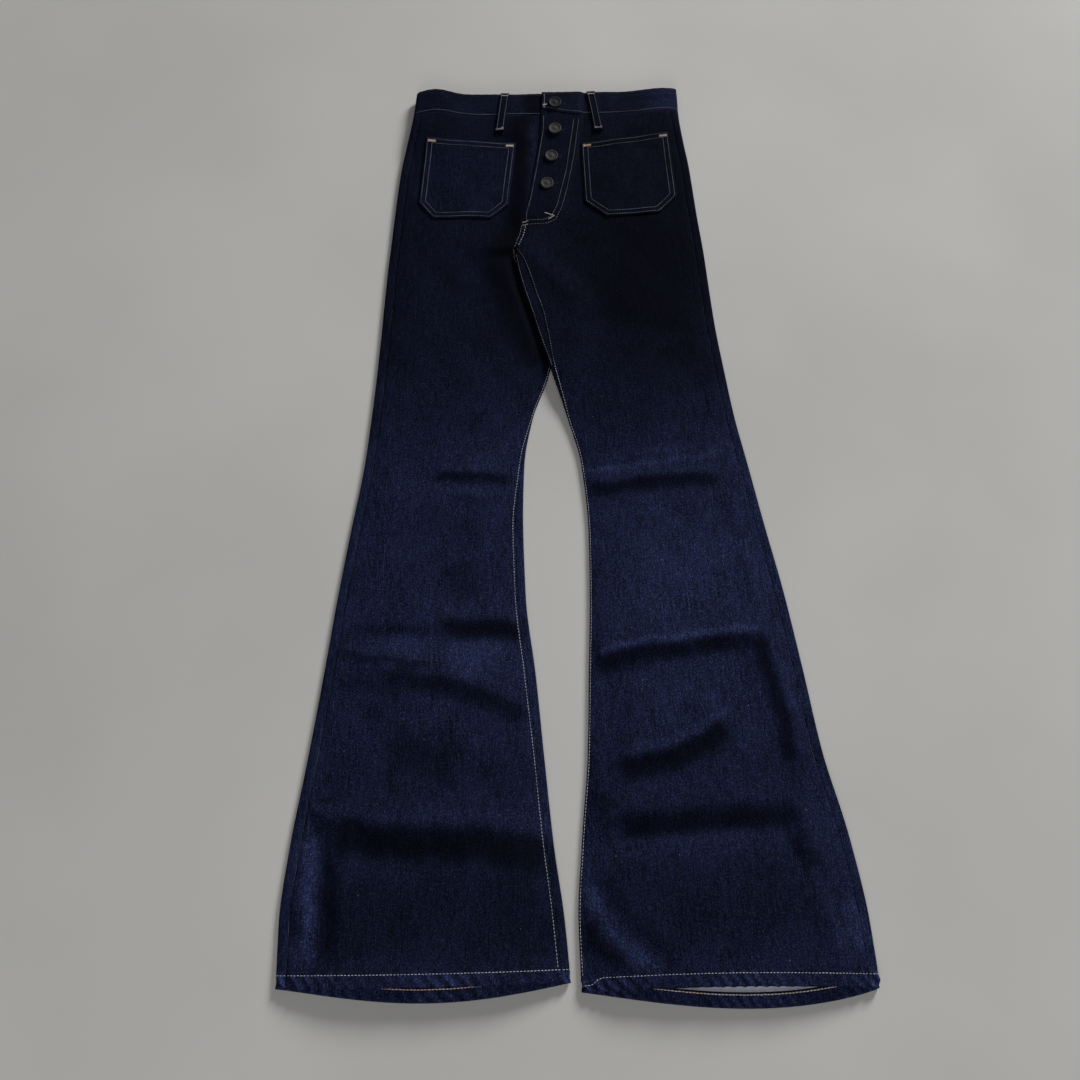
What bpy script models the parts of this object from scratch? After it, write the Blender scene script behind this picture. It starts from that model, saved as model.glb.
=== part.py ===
"""Flared jeans laid flat on their back, front side up, as cut and sewn panels of denim.

The frame: +X towards the wearer's left, +Y towards the waist, +Z up from the surface they lie on.
Sizes are in millimetres in this script and become metres when a mesh is finished. Levels are heights
along the garment, counted from the hem line at the side seams, before the hem's own curve is added.
Each leg is a flattened tube: a back panel that lies on the surface and wraps round both folded edges,
and a front panel on top of it. Every wall is worked out from one continuous surface and its normal,
so neighbouring panels keep the same narrow gap at each seam, through their whole thickness.
"""

import math
from collections import namedtuple

import bmesh
import bpy
from mathutils import Vector
from mathutils.bvhtree import BVHTree

MM = 0.001

# Cloth
DENIM = 1.2  # one layer of heavy denim
DOUBLED = 2.4  # two layers: hems, waistband, button stand
SEAM_GAP = 0.3

# Heights along the garment
HEM_DEPTH = 13.5
HEM_STEP = 0.8  # length over which the doubled hem thins to one layer
CROTCH = 859.0
FLY_FOOT = 895.0
WAIST = 1062.0
WAIST_TOP = 1100.0
WEB = 12.0  # length over which the leg tubes open into the seat above the crotch

# Folded edges
EDGE_RADIUS = 2.5
HEM_EDGE_RADIUS = 3.2
WAIST_EDGE_RADIUS = 4.8
OUTSEAM_IN = 10.5  # the outseams lie on top, this far in from the outer fold

# Where the wearer's left thigh lies over the right one
THIGH_LIFT = 6.2
THIGH_REST = 16.0  # the thigh stays lifted this far past the right leg's inner fold
THIGH_SLOPE = 46.0  # width of the ramp from there down to the surface
THIGH_TOP = 848.0
THIGH_FOOT = 690.0
THIGH_FADE = 120.0
CROTCH_FADE = 34.0  # above the crotch the fronts come down from the thigh's height over this length

# The waist's front corners
CORNER_X = 150.0
CORNER_WIDTH = 26.0
CORNER_PUFF = 3.5
CORNER_RISE = {"right": 6.5, "left": 0.8}

# Fly
FLY_OVERLAP = 10.0  # the right front runs this far under the left front's edge
FLY_RAISE = 2.0  # the left front stands this much over the right one
BAND_RAISE = 3.2
FLY_STEP = 7.0  # width of the step where the raise ends
STAND_WIDTH = 29.0
STAND_FOOT = 929.0
BAND_TILT = 9.0  # the waist seam climbs this much at the fly's edge
BAND_TILT_WIDTH = 48.0
BAND_UNDERLAP = 42.0  # how far the waistband's right end runs under its left end

# Buttons
BUTTON_RADIUS = 8.5
BUTTON_HEIGHT = 3.2
SHANK_RADIUS = 2.6
EYE_RADIUS = 3.2
SLIT_LENGTH = 14.0
SLIT_WIDTH = 1.2
HOLE_CLEARANCE = 0.45  # the cut ends this far over the layer under it
HOLE_RISE = 6.0
BUTTON_PLACES = [("waist", 9.0, 1080.0), ("upper", 7.6, 1038.0), ("middle", 1.9, 996.0), ("lower", -5.0, 953.0)]

# Belt loops
LOOP_WIDTH = 12.0
LOOP_THICKNESS = 2.0
LOOP_TAIL = 27.0  # how far the front loops reach below the waistband
LOOP_TOP_X = 57.2  # how far from the middle the front loops stand at the waistband's top
LOOP_FOOT_X = 65.3  # and at their lower end
BACK_LOOP_TAIL = 12.0
BACK_LOOP_LIFT = LOOP_THICKNESS + SEAM_GAP  # the waist end rests on the back loops
REST_FULL = WAIST - BACK_LOOP_TAIL - 4.0
REST_START = REST_FULL - 42.0
BACK_LOOP_PLACES = [("right", -108.0), ("centre", 0.0), ("left", 108.0)]

# One row per level: the folds that bound each leg, the radius of those folds, how high the top layer
# stands in its middle, and how far each inseam lies in from the inner fold, on top.
Level = namedtuple("Level", "level right_out right_in left_in left_out radius crown right_seam left_seam")
LEVELS = [
    Level(0, -300.0, -7.5, 2.6, 298.5, HEM_EDGE_RADIUS, 12.5, 8.0, 0.0),
    Level(60, -300.5, -12.0, 2.0, 296.0, EDGE_RADIUS, 9.5, 9.0, 0.0),
    Level(130, -294.0, -20.5, 8.0, 286.5, EDGE_RADIUS, 7.5, 8.0, 0.0),
    Level(220, -280.0, -28.0, 18.0, 268.0, EDGE_RADIUS, 6.5, 8.0, 0.0),
    Level(310, -267.0, -35.0, 23.0, 257.0, EDGE_RADIUS, 6.0, 9.5, 0.0),
    Level(400, -255.0, -44.0, 27.7, 245.0, EDGE_RADIUS, 5.5, 9.0, 0.0),
    Level(480, -243.0, -45.3, 29.5, 231.5, EDGE_RADIUS, 5.0, 9.0, 0.0),
    Level(560, -230.0, -42.4, 24.4, 218.7, EDGE_RADIUS, 5.0, 3.0, 0.0),
    Level(620, -223.7, -31.5, 10.5, 209.0, EDGE_RADIUS, 5.0, 0.0, 0.0),
    Level(680, -218.5, -10.2, -6.5, 202.4, EDGE_RADIUS, 4.8, 0.0, 2.5),
    Level(740, -214.3, 1.0, -23.0, 196.5, EDGE_RADIUS, 4.6, 0.0, 10.0),
    Level(770, -212.5, 0.0, -31.0, 194.6, EDGE_RADIUS, 4.6, 0.0, 12.5),
    Level(805, -210.2, -14.0, -41.0, 192.8, EDGE_RADIUS, 4.6, 0.0, 12.5),
    Level(835, -208.2, -40.0, -46.6, 191.4, EDGE_RADIUS, 4.8, 0.0, 9.5),
    Level(THIGH_TOP, -207.1, -48.0, -47.7, 190.7, EDGE_RADIUS, 4.9, 0.0, 5.0),
    Level(CROTCH, -206.0, -48.65, -48.35, 190.0, EDGE_RADIUS, 5.0, 0.0, 0.0),
    Level(900, -202.7, -48.65, -48.35, 186.7, 2.7, 5.5, 0.0, 0.0),
    Level(980, -194.7, -48.65, -48.35, 181.5, 3.4, 5.0, 0.0, 0.0),
    Level(WAIST, -179.6, -48.65, -48.35, 172.9, WAIST_EDGE_RADIUS, 2.2, 0.0, 0.0),
    Level(WAIST_TOP, -175.5, -48.65, -48.35, 173.2, WAIST_EDGE_RADIUS, 1.6, 0.0, 0.0),
]

# One row per level: the front rise seam, which is the left front's folded edge along the fly, the curved
# row of stitches that ends the fly, and the seam between the two backs.
Rise = namedtuple("Rise", "level front fly_end back")
RISES = [
    Rise(CROTCH, -48.5, -48.0, -48.5),
    Rise(868, -43.5, -44.0, -41.0),
    Rise(FLY_FOOT, -36.2, -12.0, -26.0),
    Rise(910, -35.6, 10.0, -20.0),
    Rise(930, -30.0, 16.5, -13.0),
    Rise(984, -19.8, 29.0, -3.0),
    Rise(1041, -10.5, 38.0, 0.0),
    Rise(WAIST_TOP, -8.5, 42.0, 0.0),
]

# One row per leg: how far below the hem line its hem lies at the outer fold, at the inner fold, and in
# the middle of the front and back layers, and where across the leg the back hangs lowest.
Hem = namedtuple("Hem", "at_out at_in front back lowest")
HEMS = {"right": Hem(-0.5, 1.0, 1.2, 16.0, 0.52), "left": Hem(13.0, 10.0, -3.5, 17.5, 0.42)}
HEM_FADE = 190.0  # the hem's own curve is gone this far up the leg

# One row per large fold of the top layer: its side, the points it runs through, its half width, and its
# height, which is negative for a trough.
Fold = namedtuple("Fold", "side route width height")
FOLDS = [
    Fold("right", [(-152, 553), (-110, 552), (-60, 549)], 10.0, 3.0),
    Fold("right", [(-124, 378), (-90, 377), (-50, 374)], 14.0, 3.0),
    Fold("right", [(-129, 355), (-90, 354), (-48, 354)], 13.0, -2.8),
    Fold("right", [(-246, 341), (-214, 331), (-186, 315), (-150, 306)], 10.0, 2.2),
    Fold("right", [(-152, 308), (-125, 302), (-100, 295), (-75, 284), (-46, 268)], 17.0, 4.6),
    Fold("right", [(-250, 167), (-200, 160), (-150, 157), (-100, 157), (-50, 151), (-24, 142)], 18.0, 5.4),
    Fold("right", [(-236, 131), (-200, 122), (-150, 122), (-104, 116)], 16.0, -3.0),
    Fold("right", [(-262, 160), (-258, 130), (-257, 90), (-254, 50), (-256, 18)], 11.0, -2.4),
    Fold("right", [(-243, 158), (-240, 110), (-237, 60), (-240, 24)], 10.0, 2.0),
    Fold("right", [(-35, 1040), (-38, 1000), (-44, 940), (-56, 890), (-64, 868)], 8.0, 1.4),
    Fold("right", [(-76, 850), (-72, 820), (-62, 780), (-52, 735), (-42, 705)], 16.0, 2.0),
    Fold("left", [(28, 536), (55, 535), (100, 541), (150, 543), (186, 542)], 12.0, 4.0),
    Fold("left", [(24, 329), (50, 338), (90, 344), (125, 345), (150, 350), (182, 353), (217, 354)], 17.0, 5.0),
    Fold("left", [(216, 350), (223, 330), (229, 300), (236, 268), (241, 238), (240, 206)], 13.0, 3.6),
    Fold("left", [(44, 221), (75, 225), (100, 230), (125, 238), (150, 253), (172, 265)], 16.0, 4.4),
    Fold("left", [(38, 168), (100, 172), (160, 174), (204, 173)], 18.0, 4.6),
    Fold("left", [(32, 135), (75, 137), (125, 140), (175, 144), (206, 146)], 14.0, -3.8),
    Fold("left", [(232, 170), (238, 140), (236, 112)], 10.0, 2.8),
    Fold("left", [(245, 112), (255, 78), (264, 52), (270, 24)], 8.0, -2.0),
    Fold("left", [(15, 100), (24, 75), (35, 50), (56, 27), (86, 10)], 11.0, -3.0),
    Fold("left", [(10, 62), (24, 36), (44, 19), (64, 8)], 9.0, 3.0),
]
FOLD_EDGE = 9.0  # folds flatten out over this distance from a folded edge

# One row per stretch of levels: where it starts, and how many rows of faces it holds.
Stretch = namedtuple("Stretch", "start rows")
STRETCHES = [
    Stretch(0, 1),
    Stretch(HEM_DEPTH, 1),
    Stretch(HEM_DEPTH + HEM_STEP, 4),
    Stretch(108, 5),
    Stretch(172, 4),
    Stretch(276, 2),
    Stretch(322, 4),
    Stretch(378, 4),
    Stretch(520, 5),
    Stretch(580, 3),
    Stretch(660, 5),
    Stretch(805, 1),
    Stretch(835, 1),
    Stretch(THIGH_TOP, 1),
    Stretch(CROTCH, 1),
    Stretch(CROTCH + WEB, 1),
    Stretch(FLY_FOOT, 2),
    Stretch(925, 3),
    Stretch(REST_START, 2),
    Stretch(REST_FULL, 1),
    Stretch(WAIST, 0),
]

# The patch pockets: each has a straight top and cut-off lower corners. One row per corner line, from the
# top: the two ends of that line, in mm.
Line = namedtuple("Line", "name outer inner cells")
POCKETS = {
    "right": [
        Line("mouth", (-161.8, 1032.0), (-43.8, 1017.6), 8),
        Line("upper chamfer", (-170.7, 930.5), (-55.3, 923.0), 2),
        Line("foot", (-152.6, 905.9), (-78.5, 903.3), 0),
    ],
    "left": [
        Line("mouth", (157.2, 1033.4), (41.1, 1016.8), 8),
        Line("upper chamfer", (161.9, 933.6), (42.4, 925.0), 2),
        Line("foot", (138.2, 907.7), (70.0, 901.7), 0),
    ],
}
POCKET_COLUMNS = 8

OUTWARD = {"right": -1.0, "left": 1.0}
SIDES = ("right", "left")

# Cells across each piece
FRONT_CELLS = 13
SEAM_CELLS = 2  # the front's last cells follow the inner fold
WRAP_CELLS = 4  # round each folded edge
FLAT_STOPS = (0.0, 0.14, 0.28, 0.42, 0.56, 0.69, 0.8, 0.9, 1.0)  # shares of a back's flat stretch
FLAT_CELLS = len(FLAT_STOPS) - 1
BACK_CELLS = 1 + WRAP_CELLS + FLAT_CELLS + WRAP_CELLS
STAND_CELLS = 3
BAND_BACK = 12
BAND_ROWS = 2
STAND_ROWS = 8
BAND_CELLS = 2 * (FRONT_CELLS + 1) + STAND_CELLS + 2 * WRAP_CELLS + BAND_BACK


def clear_scene():
    for obj in list(bpy.data.objects):
        bpy.data.objects.remove(obj, do_unlink=True)


def ramp(value):
    """A smooth step from 0 to 1."""
    value = min(1.0, max(0.0, value))
    return value * value * (3.0 - 2.0 * value)


def mix(a, b, share):
    return a + (b - a) * share


def read(table, column, level):
    """A column of a table at any level: a monotone cubic through its rows."""
    rows = [(row.level, getattr(row, column)) for row in table]
    level = min(rows[-1][0], max(rows[0][0], level))
    index = max(i for i in range(len(rows) - 1) if rows[i][0] <= level)
    slopes = [(b[1] - a[1]) / (b[0] - a[0]) for a, b in zip(rows, rows[1:])]

    def tangent(i):
        if i in (0, len(rows) - 1):
            return slopes[min(i, len(slopes) - 1)]
        before, after = slopes[i - 1], slopes[i]
        return 0.0 if before * after <= 0 else 2.0 * before * after / (before + after)

    (start, low), (end, high) = rows[index], rows[index + 1]
    span = end - start
    t = (level - start) / span
    return (
        low * (2 * t**3 - 3 * t**2 + 1)
        + tangent(index) * span * (t**3 - 2 * t**2 + t)
        + high * (3 * t**2 - 2 * t**3)
        + tangent(index + 1) * span * (t**3 - t**2)
    )


def fold_height(side, x, y):
    """What the large folds add to the top layer's height."""
    total = 0.0
    for fold in FOLDS:
        if fold.side != side:
            continue
        lengths = [math.dist(a, b) for a, b in zip(fold.route, fold.route[1:])]
        whole, walked = sum(lengths), 0.0
        best = None
        for (ax, ay), (bx, by), length in zip(fold.route, fold.route[1:], lengths):
            t = ((x - ax) * (bx - ax) + (y - ay) * (by - ay)) / length**2
            t = min(1.0, max(0.0, t))
            away = math.hypot(x - mix(ax, bx, t), y - mix(ay, by, t))
            if best is None or away < best[0]:
                best = (away, (walked + t * length) / whole)
            walked += length
        away, along = best
        if away < 3.0 * fold.width:
            ends = ramp(along / 0.22) * ramp((1.0 - along) / 0.22)
            total += fold.height * math.exp(-((away / fold.width) ** 2)) * (0.25 + 0.75 * ends)
    return total


def dome(share):
    """The shape of a soft crown across a width: 0 at both ends, 1 in the middle."""
    return 1.0 - abs(1.0 - 2.0 * min(1.0, max(0.0, share))) ** 2.6


def thigh_carried(x, y):
    """1 where the right leg carries the left one, and 0 where the left leg is down on the surface."""
    carried = read(LEVELS, "right_in", y) + THIGH_REST
    return ramp((carried + THIGH_SLOPE - x) / THIGH_SLOPE)


def below_crotch(y):
    return ramp((CROTCH - y) / (CROTCH - THIGH_TOP))


def thigh_lift(x, y):
    """How far the left leg is carried up by the right leg that it lies on."""
    along = below_crotch(y) * ramp((y - THIGH_FOOT + THIGH_FADE) / THIGH_FADE)
    return THIGH_LIFT * along * thigh_carried(x, y)


def crotch_lift(side, x, y):
    """How far the top layer alone stands up round the crotch, where it comes off the crossed thighs."""
    rise = ramp((CROTCH + CROTCH_FADE - y) / (CROTCH + CROTCH_FADE - THIGH_TOP))
    if rise == 0.0 or y < THIGH_TOP:
        return 0.0
    if side == "left":
        return THIGH_LIFT * (rise - below_crotch(y)) * thigh_carried(x, y)
    across = ramp((x - read(LEVELS, "right_in", y) + THIGH_SLOPE) / THIGH_SLOPE)
    return THIGH_LIFT * rise * (1.0 - below_crotch(y)) * across


def ground(side, x, y):
    """The height of the cloth's underside over the surface."""
    lift = thigh_lift(x, y) if side == "left" else 0.0
    return lift + BACK_LOOP_LIFT * ramp((y - REST_START) / (REST_FULL - REST_START))


def corner(x):
    """1 near the waistband's two front corners, where it stands off its side folds, and 0 elsewhere."""
    return math.exp(-(((abs(x) - CORNER_X) / CORNER_WIDTH) ** 2))


def fly_raise(x, y, amount):
    """The step up of the left front where it lies over the right front and the button stand."""
    if y < FLY_FOOT - 1.0:
        return 0.0
    across = ramp((read(RISES, "fly_end", y) + FLY_STEP - x) / FLY_STEP)
    return amount * across * ramp((y - FLY_FOOT) / 15.0)


def top(side, x, level, y, raised=FLY_RAISE):
    """The height of the top layer's outer face."""
    radius = read(LEVELS, "radius", level)
    crown = read(LEVELS, "crown", level)
    out_x = read(LEVELS, side + "_out", level) - OUTWARD[side] * radius
    in_x = read(LEVELS, side + "_in", level) + OUTWARD[side] * radius
    leg_share = (x - out_x) / (in_x - out_x)
    right_out = read(LEVELS, "right_out", level) + radius
    left_out = read(LEVELS, "left_out", level) - radius
    seat_share = (x - right_out) / (left_out - right_out)
    seat = ramp((level - CROTCH) / 90.0)
    height = crown * mix(dome(leg_share), dome(seat_share), seat)
    edge = min(abs(x - out_x), abs(x - in_x) if level < CROTCH else abs(x - out_x))
    height += fold_height(side, x, y) * ramp(edge / FOLD_EDGE)
    if side == "right" and THIGH_FOOT - THIGH_FADE < y < CROTCH:
        # The right leg lies pressed flat under the thigh that covers it.
        covered = ramp((x - read(LEVELS, "left_in", y) + 26.0) / 16.0)
        height *= 1.0 - covered * below_crotch(y)
    if side == "left":
        height += fly_raise(x, y, raised)
    height += CORNER_PUFF * corner(x) * ramp((y - WAIST + 60.0) / 70.0)
    return ground(side, x, y) + 2.0 * radius + height + crotch_lift(side, x, y)


def hem_line(side, x, level, topness):
    """How far the hem's own curve carries a point down the leg."""
    fade = 1.0 - ramp(level / HEM_FADE)
    if fade == 0.0:
        return 0.0
    hem = HEMS[side]
    out_x, in_x = read(LEVELS, side + "_out", level), read(LEVELS, side + "_in", level)
    share = min(1.0, max(0.0, (x - out_x) / (in_x - out_x)))
    skewed = share ** (math.log(0.5) / math.log(hem.lowest))
    front = hem.front * math.sin(math.pi * share)
    back = hem.back * math.sin(math.pi * skewed)
    return -fade * (mix(hem.at_out, hem.at_in, share) + mix(back, front, topness))


def waist_line(side, x, level, topness):
    """How far the waist's own curve carries a point up."""
    front = 4.0 * (x / 175.0) ** 2 + CORNER_RISE["left" if x > 0.0 else "right"] * corner(x)
    back = 1.5 + 4.0 * (x / 175.0) ** 2
    shift = ramp((level - WAIST + 120.0) / 120.0) * mix(back, front, topness)
    if side == "left":
        near_seam = ramp((level - WAIST + 60.0) / 60.0) * ramp((WAIST_TOP - level) / (WAIST_TOP - WAIST))
        near_fly = ramp((read(RISES, "front", WAIST) + BAND_TILT_WIDTH - x) / BAND_TILT_WIDTH)
        shift += BAND_TILT * near_seam * near_fly * topness
    return shift


def place(side, x, level, topness):
    """Where a point of this level lies along the garment."""
    return level + hem_line(side, x, level, topness) + waist_line(side, x, level, topness)


def round_fold(side, fold, level, along):
    """A point near a folded edge. along is measured round it from its outermost line, + on top."""
    radius = read(LEVELS, "radius", level)
    quarter = math.pi * radius / 2.0
    outward = OUTWARD[side] if fold == "out" else -OUTWARD[side]
    fold_x = read(LEVELS, f"{side}_{fold}", level)
    turn = min(quarter, max(-quarter, along)) / radius
    x = fold_x - outward * (radius * (1.0 - math.cos(turn)) + max(0.0, abs(along) - quarter))
    topness = 0.5 + 0.5 * math.sin(turn)
    y = place(side, x, level, topness)
    if along > quarter:
        return Vector((x, y, top(side, x, level, y)))
    lift = ground(side, x, y) + topness * crotch_lift(side, x, y) * (fold == "in")
    return Vector((x, y, lift + radius * (1.0 + math.sin(turn))))


def quarter_turn(level):
    return math.pi * read(LEVELS, "radius", level) / 2.0


def seam_round(side, level):
    """The inseam's place round the inner fold, + on top, from its distance in from that fold."""
    inside = read(LEVELS, side + "_seam", level)
    radius = read(LEVELS, "radius", level)
    if inside >= radius:
        return quarter_turn(level) + inside - radius
    return radius * math.acos(1.0 - inside / radius)


def front_line(side, level):
    """The front's inner edge above the crotch: the rise seam, then the fly."""
    line = read(RISES, "front", level) + OUTWARD[side] * SEAM_GAP / 2.0
    if side == "right":
        line += FLY_OVERLAP * ramp((level - FLY_FOOT - 20.0) / 12.0)
    return line


def near_inner_line(side, level, inward, layer):
    """A point this far out from a panel's inner line: round the leg's fold, and flat above the crotch."""
    seam = seam_round(side, level)
    step = SEAM_GAP / 2.0 + inward
    flat = ramp((level - CROTCH) / WEB)
    if flat < 1.0:
        tube = round_fold(side, "in", level, seam + step if layer == "front" else seam - step)
        if flat == 0.0:
            return tube
    if layer == "front":
        x = front_line(side, level) + OUTWARD[side] * inward
        y = place(side, x, level, 1.0)
        seat = Vector((x, y, top(side, x, level, y)))
    else:
        x = read(RISES, "back", level) + OUTWARD[side] * step
        y = place(side, x, level, 0.0)
        seat = Vector((x, y, ground(side, x, y)))
    return seat if flat == 1.0 else tube.lerp(seat, flat)


def front_point(side, column, level):
    """A point of a front's outer face: column 0 is the outseam and the last is the inner line."""
    step = quarter_turn(level) / SEAM_CELLS
    if column > FRONT_CELLS - SEAM_CELLS:
        return near_inner_line(side, level, (FRONT_CELLS - column) * step, "front")
    outseam = read(LEVELS, side + "_out", level) - OUTWARD[side] * (OUTSEAM_IN + SEAM_GAP / 2.0)
    shoulder = near_inner_line(side, level, SEAM_CELLS * step, "front").x
    x = mix(outseam, shoulder, column / (FRONT_CELLS - SEAM_CELLS))
    y = place(side, x, level, 1.0)
    return Vector((x, y, top(side, x, level, y)))


def back_point(side, column, level):
    """A point of a back's outer face, from the outseam on top, under the leg, to the inner line."""
    quarter = quarter_turn(level)
    if column <= 1.0:
        radius = read(LEVELS, "radius", level)
        outseam = quarter + OUTSEAM_IN - radius - SEAM_GAP / 2.0
        return round_fold(side, "out", level, mix(outseam, quarter, column))
    if column <= 1.0 + WRAP_CELLS:
        return round_fold(side, "out", level, mix(quarter, -quarter, (column - 1.0) / WRAP_CELLS))
    span = seam_round(side, level) + quarter - SEAM_GAP / 2.0
    last = 1 + WRAP_CELLS + FLAT_CELLS + WRAP_CELLS
    if column >= last - WRAP_CELLS:
        share = (last - column) / WRAP_CELLS
        return near_inner_line(side, level, span * math.copysign(abs(share) ** 1.3, share), "back")
    start = round_fold(side, "out", level, -quarter).x
    end = near_inner_line(side, level, span, "back").x
    flat = column - 1.0 - WRAP_CELLS
    stop = min(FLAT_CELLS - 1, int(flat))
    x = mix(start, end, mix(FLAT_STOPS[stop], FLAT_STOPS[stop + 1], flat - stop))
    y = place(side, x, level, 0.0)
    return Vector((x, y, ground(side, x, y)))


def band_stops(side, level):
    """Where the waistband's columns stand on top of one side, from its fold inwards: over the columns of
    the front below it, and on the right side over those of the button stand as well."""
    stops = [round_fold(side, "out", level, quarter_turn(level)).x]
    stops += [front_point(side, column, WAIST).x for column in range(FRONT_CELLS + 1)]
    if side == "right":
        stops += [mix(stops[-1], BAND_UNDERLAP, i / STAND_CELLS) for i in range(1, STAND_CELLS + 1)]
    return stops


def band_point(column, rise):
    """A point of the waistband's outer face, from its right end under the fly, round the back, to its
    left end on top. rise goes from 0 at the waist seam to 1 at the top edge."""
    level = mix(WAIST + SEAM_GAP, WAIST_TOP, rise)
    quarter = quarter_turn(level)
    right_fold = FRONT_CELLS + 1 + STAND_CELLS
    under = right_fold + WRAP_CELLS
    left_fold = under + BAND_BACK
    left_top = left_fold + WRAP_CELLS
    if column < right_fold:
        return band_top("right", right_fold - column, level, FLY_RAISE)
    if column <= under:
        return round_fold("right", "out", level, mix(quarter, -quarter, (column - right_fold) / WRAP_CELLS))
    if column < left_fold:
        start = round_fold("right", "out", level, -quarter).x
        end = round_fold("left", "out", level, -quarter).x
        x = mix(start, end, (column - under) / BAND_BACK)
        y = place("left", x, level, 0.0)
        return Vector((x, y, ground("right", x, y)))
    if column <= left_top:
        return round_fold("left", "out", level, mix(-quarter, quarter, (column - left_fold) / WRAP_CELLS))
    return band_top("left", column - left_top, level, BAND_RAISE)


def band_top(side, column, level, raised):
    stops = band_stops(side, level)
    stop = min(len(stops) - 2, int(column))
    x = mix(stops[stop], stops[stop + 1], column - stop)
    y = place(side, x, level, 1.0)
    return Vector((x, y, top(side, x, level, y, raised)))


def levels():
    """The levels of the panels' rows of points."""
    found = []
    for stretch, after in zip(STRETCHES, STRETCHES[1:]):
        found += [mix(stretch.start, after.start, i / stretch.rows) for i in range(stretch.rows)]
    return found + [STRETCHES[-1].start]


def slab(name, columns, rows, locate, material):
    """A closed wall of cloth: a flat grid is thickened, then each of its corners is moved to its place.
    locate(column, row, inner) gives that place in millimetres."""
    bm = bmesh.new()
    bmesh.ops.create_grid(bm, x_segments=columns, y_segments=rows, size=0.5)
    grown = bmesh.ops.extrude_face_region(bm, geom=list(bm.faces), use_keep_orig=True)
    inner = {v for v in grown["geom"] if isinstance(v, bmesh.types.BMVert)}
    for vert in bm.verts:
        column, row = (vert.co.x + 0.5) * columns, (vert.co.y + 0.5) * rows
        vert.co = locate(round(column), round(row), vert in inner) * MM
    bmesh.ops.recalc_face_normals(bm, faces=bm.faces)
    mesh = bpy.data.meshes.new(name)
    bm.to_mesh(mesh)
    bm.free()
    mesh.materials.append(material)
    return add_object(name, mesh)


def add_object(name, mesh):
    obj = bpy.data.objects.new(name, mesh)
    jeans.objects.link(obj)
    obj.parent = origin
    return obj


def walled(surface, facing, thickness, last_row):
    """locate() for slab(): the surface itself, and the surface moved in along its own normal. The first
    and last rows are cut square, so that pieces which meet there stay apart by the same gap."""

    def locate(column, row, inner):
        point = surface(column, row)
        if not inner:
            return point
        step = 0.04
        across = surface(column + step, row) - surface(column - step, row)
        along = surface(column, row + step) - surface(column, row - step)
        normal = across.cross(along)
        if row in (0, last_row):
            normal.y = 0.0
        return point - normal.normalized() * facing * thickness(row)

    return locate


def panel(name, point, cells, side, facing, material):
    """A leg panel, with its hem turned up inside."""
    rows = levels()

    def level_at(row):
        row = min(len(rows) - 1.0, max(0.0, row))
        below = min(int(row), len(rows) - 2)
        return mix(rows[below], rows[below + 1], row - below)

    def surface(column, row):
        return point(side, column, level_at(row))

    def thickness(row):
        return DOUBLED if rows[row] <= HEM_DEPTH else DENIM

    last = len(rows) - 1
    return slab(name, cells, last, walled(surface, facing, thickness, last), material)


def waistband(material):
    def surface(column, row):
        return band_point(min(BAND_CELLS, max(0.0, column)), min(1.0, max(0.0, row / BAND_ROWS)))

    wall = walled(surface, -1.0, lambda row: DOUBLED, BAND_ROWS)
    return slab("waistband", BAND_CELLS, BAND_ROWS, wall, material)


def lie_on(objects):
    """A function for the height of the cloth under a point: the highest face of the pieces given, near it."""
    trees = []
    for obj in objects:
        mesh = obj.data
        trees.append(BVHTree.FromPolygons([v.co for v in mesh.vertices], [p.vertices for p in mesh.polygons]))

    def height(x, y, reach=3.0):
        best = 0.0
        for dx, dy in ((0, 0), (reach, 0), (-reach, 0), (0, reach), (0, -reach)):
            start = Vector((x + dx, y + dy, 200.0)) * MM
            for tree in trees:
                hit = tree.ray_cast(start, Vector((0, 0, -1)))[0]
                if hit is not None:
                    best = max(best, hit.z / MM)
        return best

    return height


def pocket(side, cloth, material):
    rows = []
    lines = POCKETS[side]
    for line, after in zip(lines, lines[1:]):
        for i in range(line.cells):
            share = i / line.cells
            rows.append([Vector(line.outer).lerp(Vector(after.outer), share),
                         Vector(line.inner).lerp(Vector(after.inner), share)])
    rows.append([Vector(lines[-1].outer), Vector(lines[-1].inner)])

    def locate(column, row, inner):
        flat = rows[row][0].lerp(rows[row][1], column / POCKET_COLUMNS)
        lift = SEAM_GAP if inner else SEAM_GAP + DENIM
        return Vector((flat.x, flat.y, cloth(flat.x, flat.y) + lift))

    return slab(f"pocket_{side}", POCKET_COLUMNS, len(rows) - 1, locate, material)


def button_stand(material):
    """The strip sewn to the right front's edge, under the left front, that carries the buttons."""
    def surface(column, row):
        level = mix(STAND_FOOT, WAIST, row / STAND_ROWS)
        x = front_line("right", level) + SEAM_GAP + STAND_WIDTH * column / STAND_CELLS
        y = place("right", x, level, 1.0)
        return Vector((x, y, top("right", x, level, y)))

    wall = walled(surface, 1.0, lambda row: DOUBLED, STAND_ROWS)
    return slab("button_stand", STAND_CELLS, STAND_ROWS, wall, material)


def front_loop(side, cloth, material):
    """A belt loop that lies over the waistband, sewn at its top edge and on the front below it."""
    rows = 10

    def locate(column, row, inner):
        share = row / rows
        x = OUTWARD[side] * mix(LOOP_FOOT_X, LOOP_TOP_X, share) + (column - 1) * LOOP_WIDTH / 2.0
        y = mix(WAIST - LOOP_TAIL, WAIST_TOP - 0.6, share)
        height = cloth(x, min(y, WAIST_TOP - 4.0), 6.0)
        return Vector((x, y, height + SEAM_GAP + (0.0 if inner else LOOP_THICKNESS)))

    return slab(f"belt_loop_front_{side}", 2, rows, locate, material)


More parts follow.
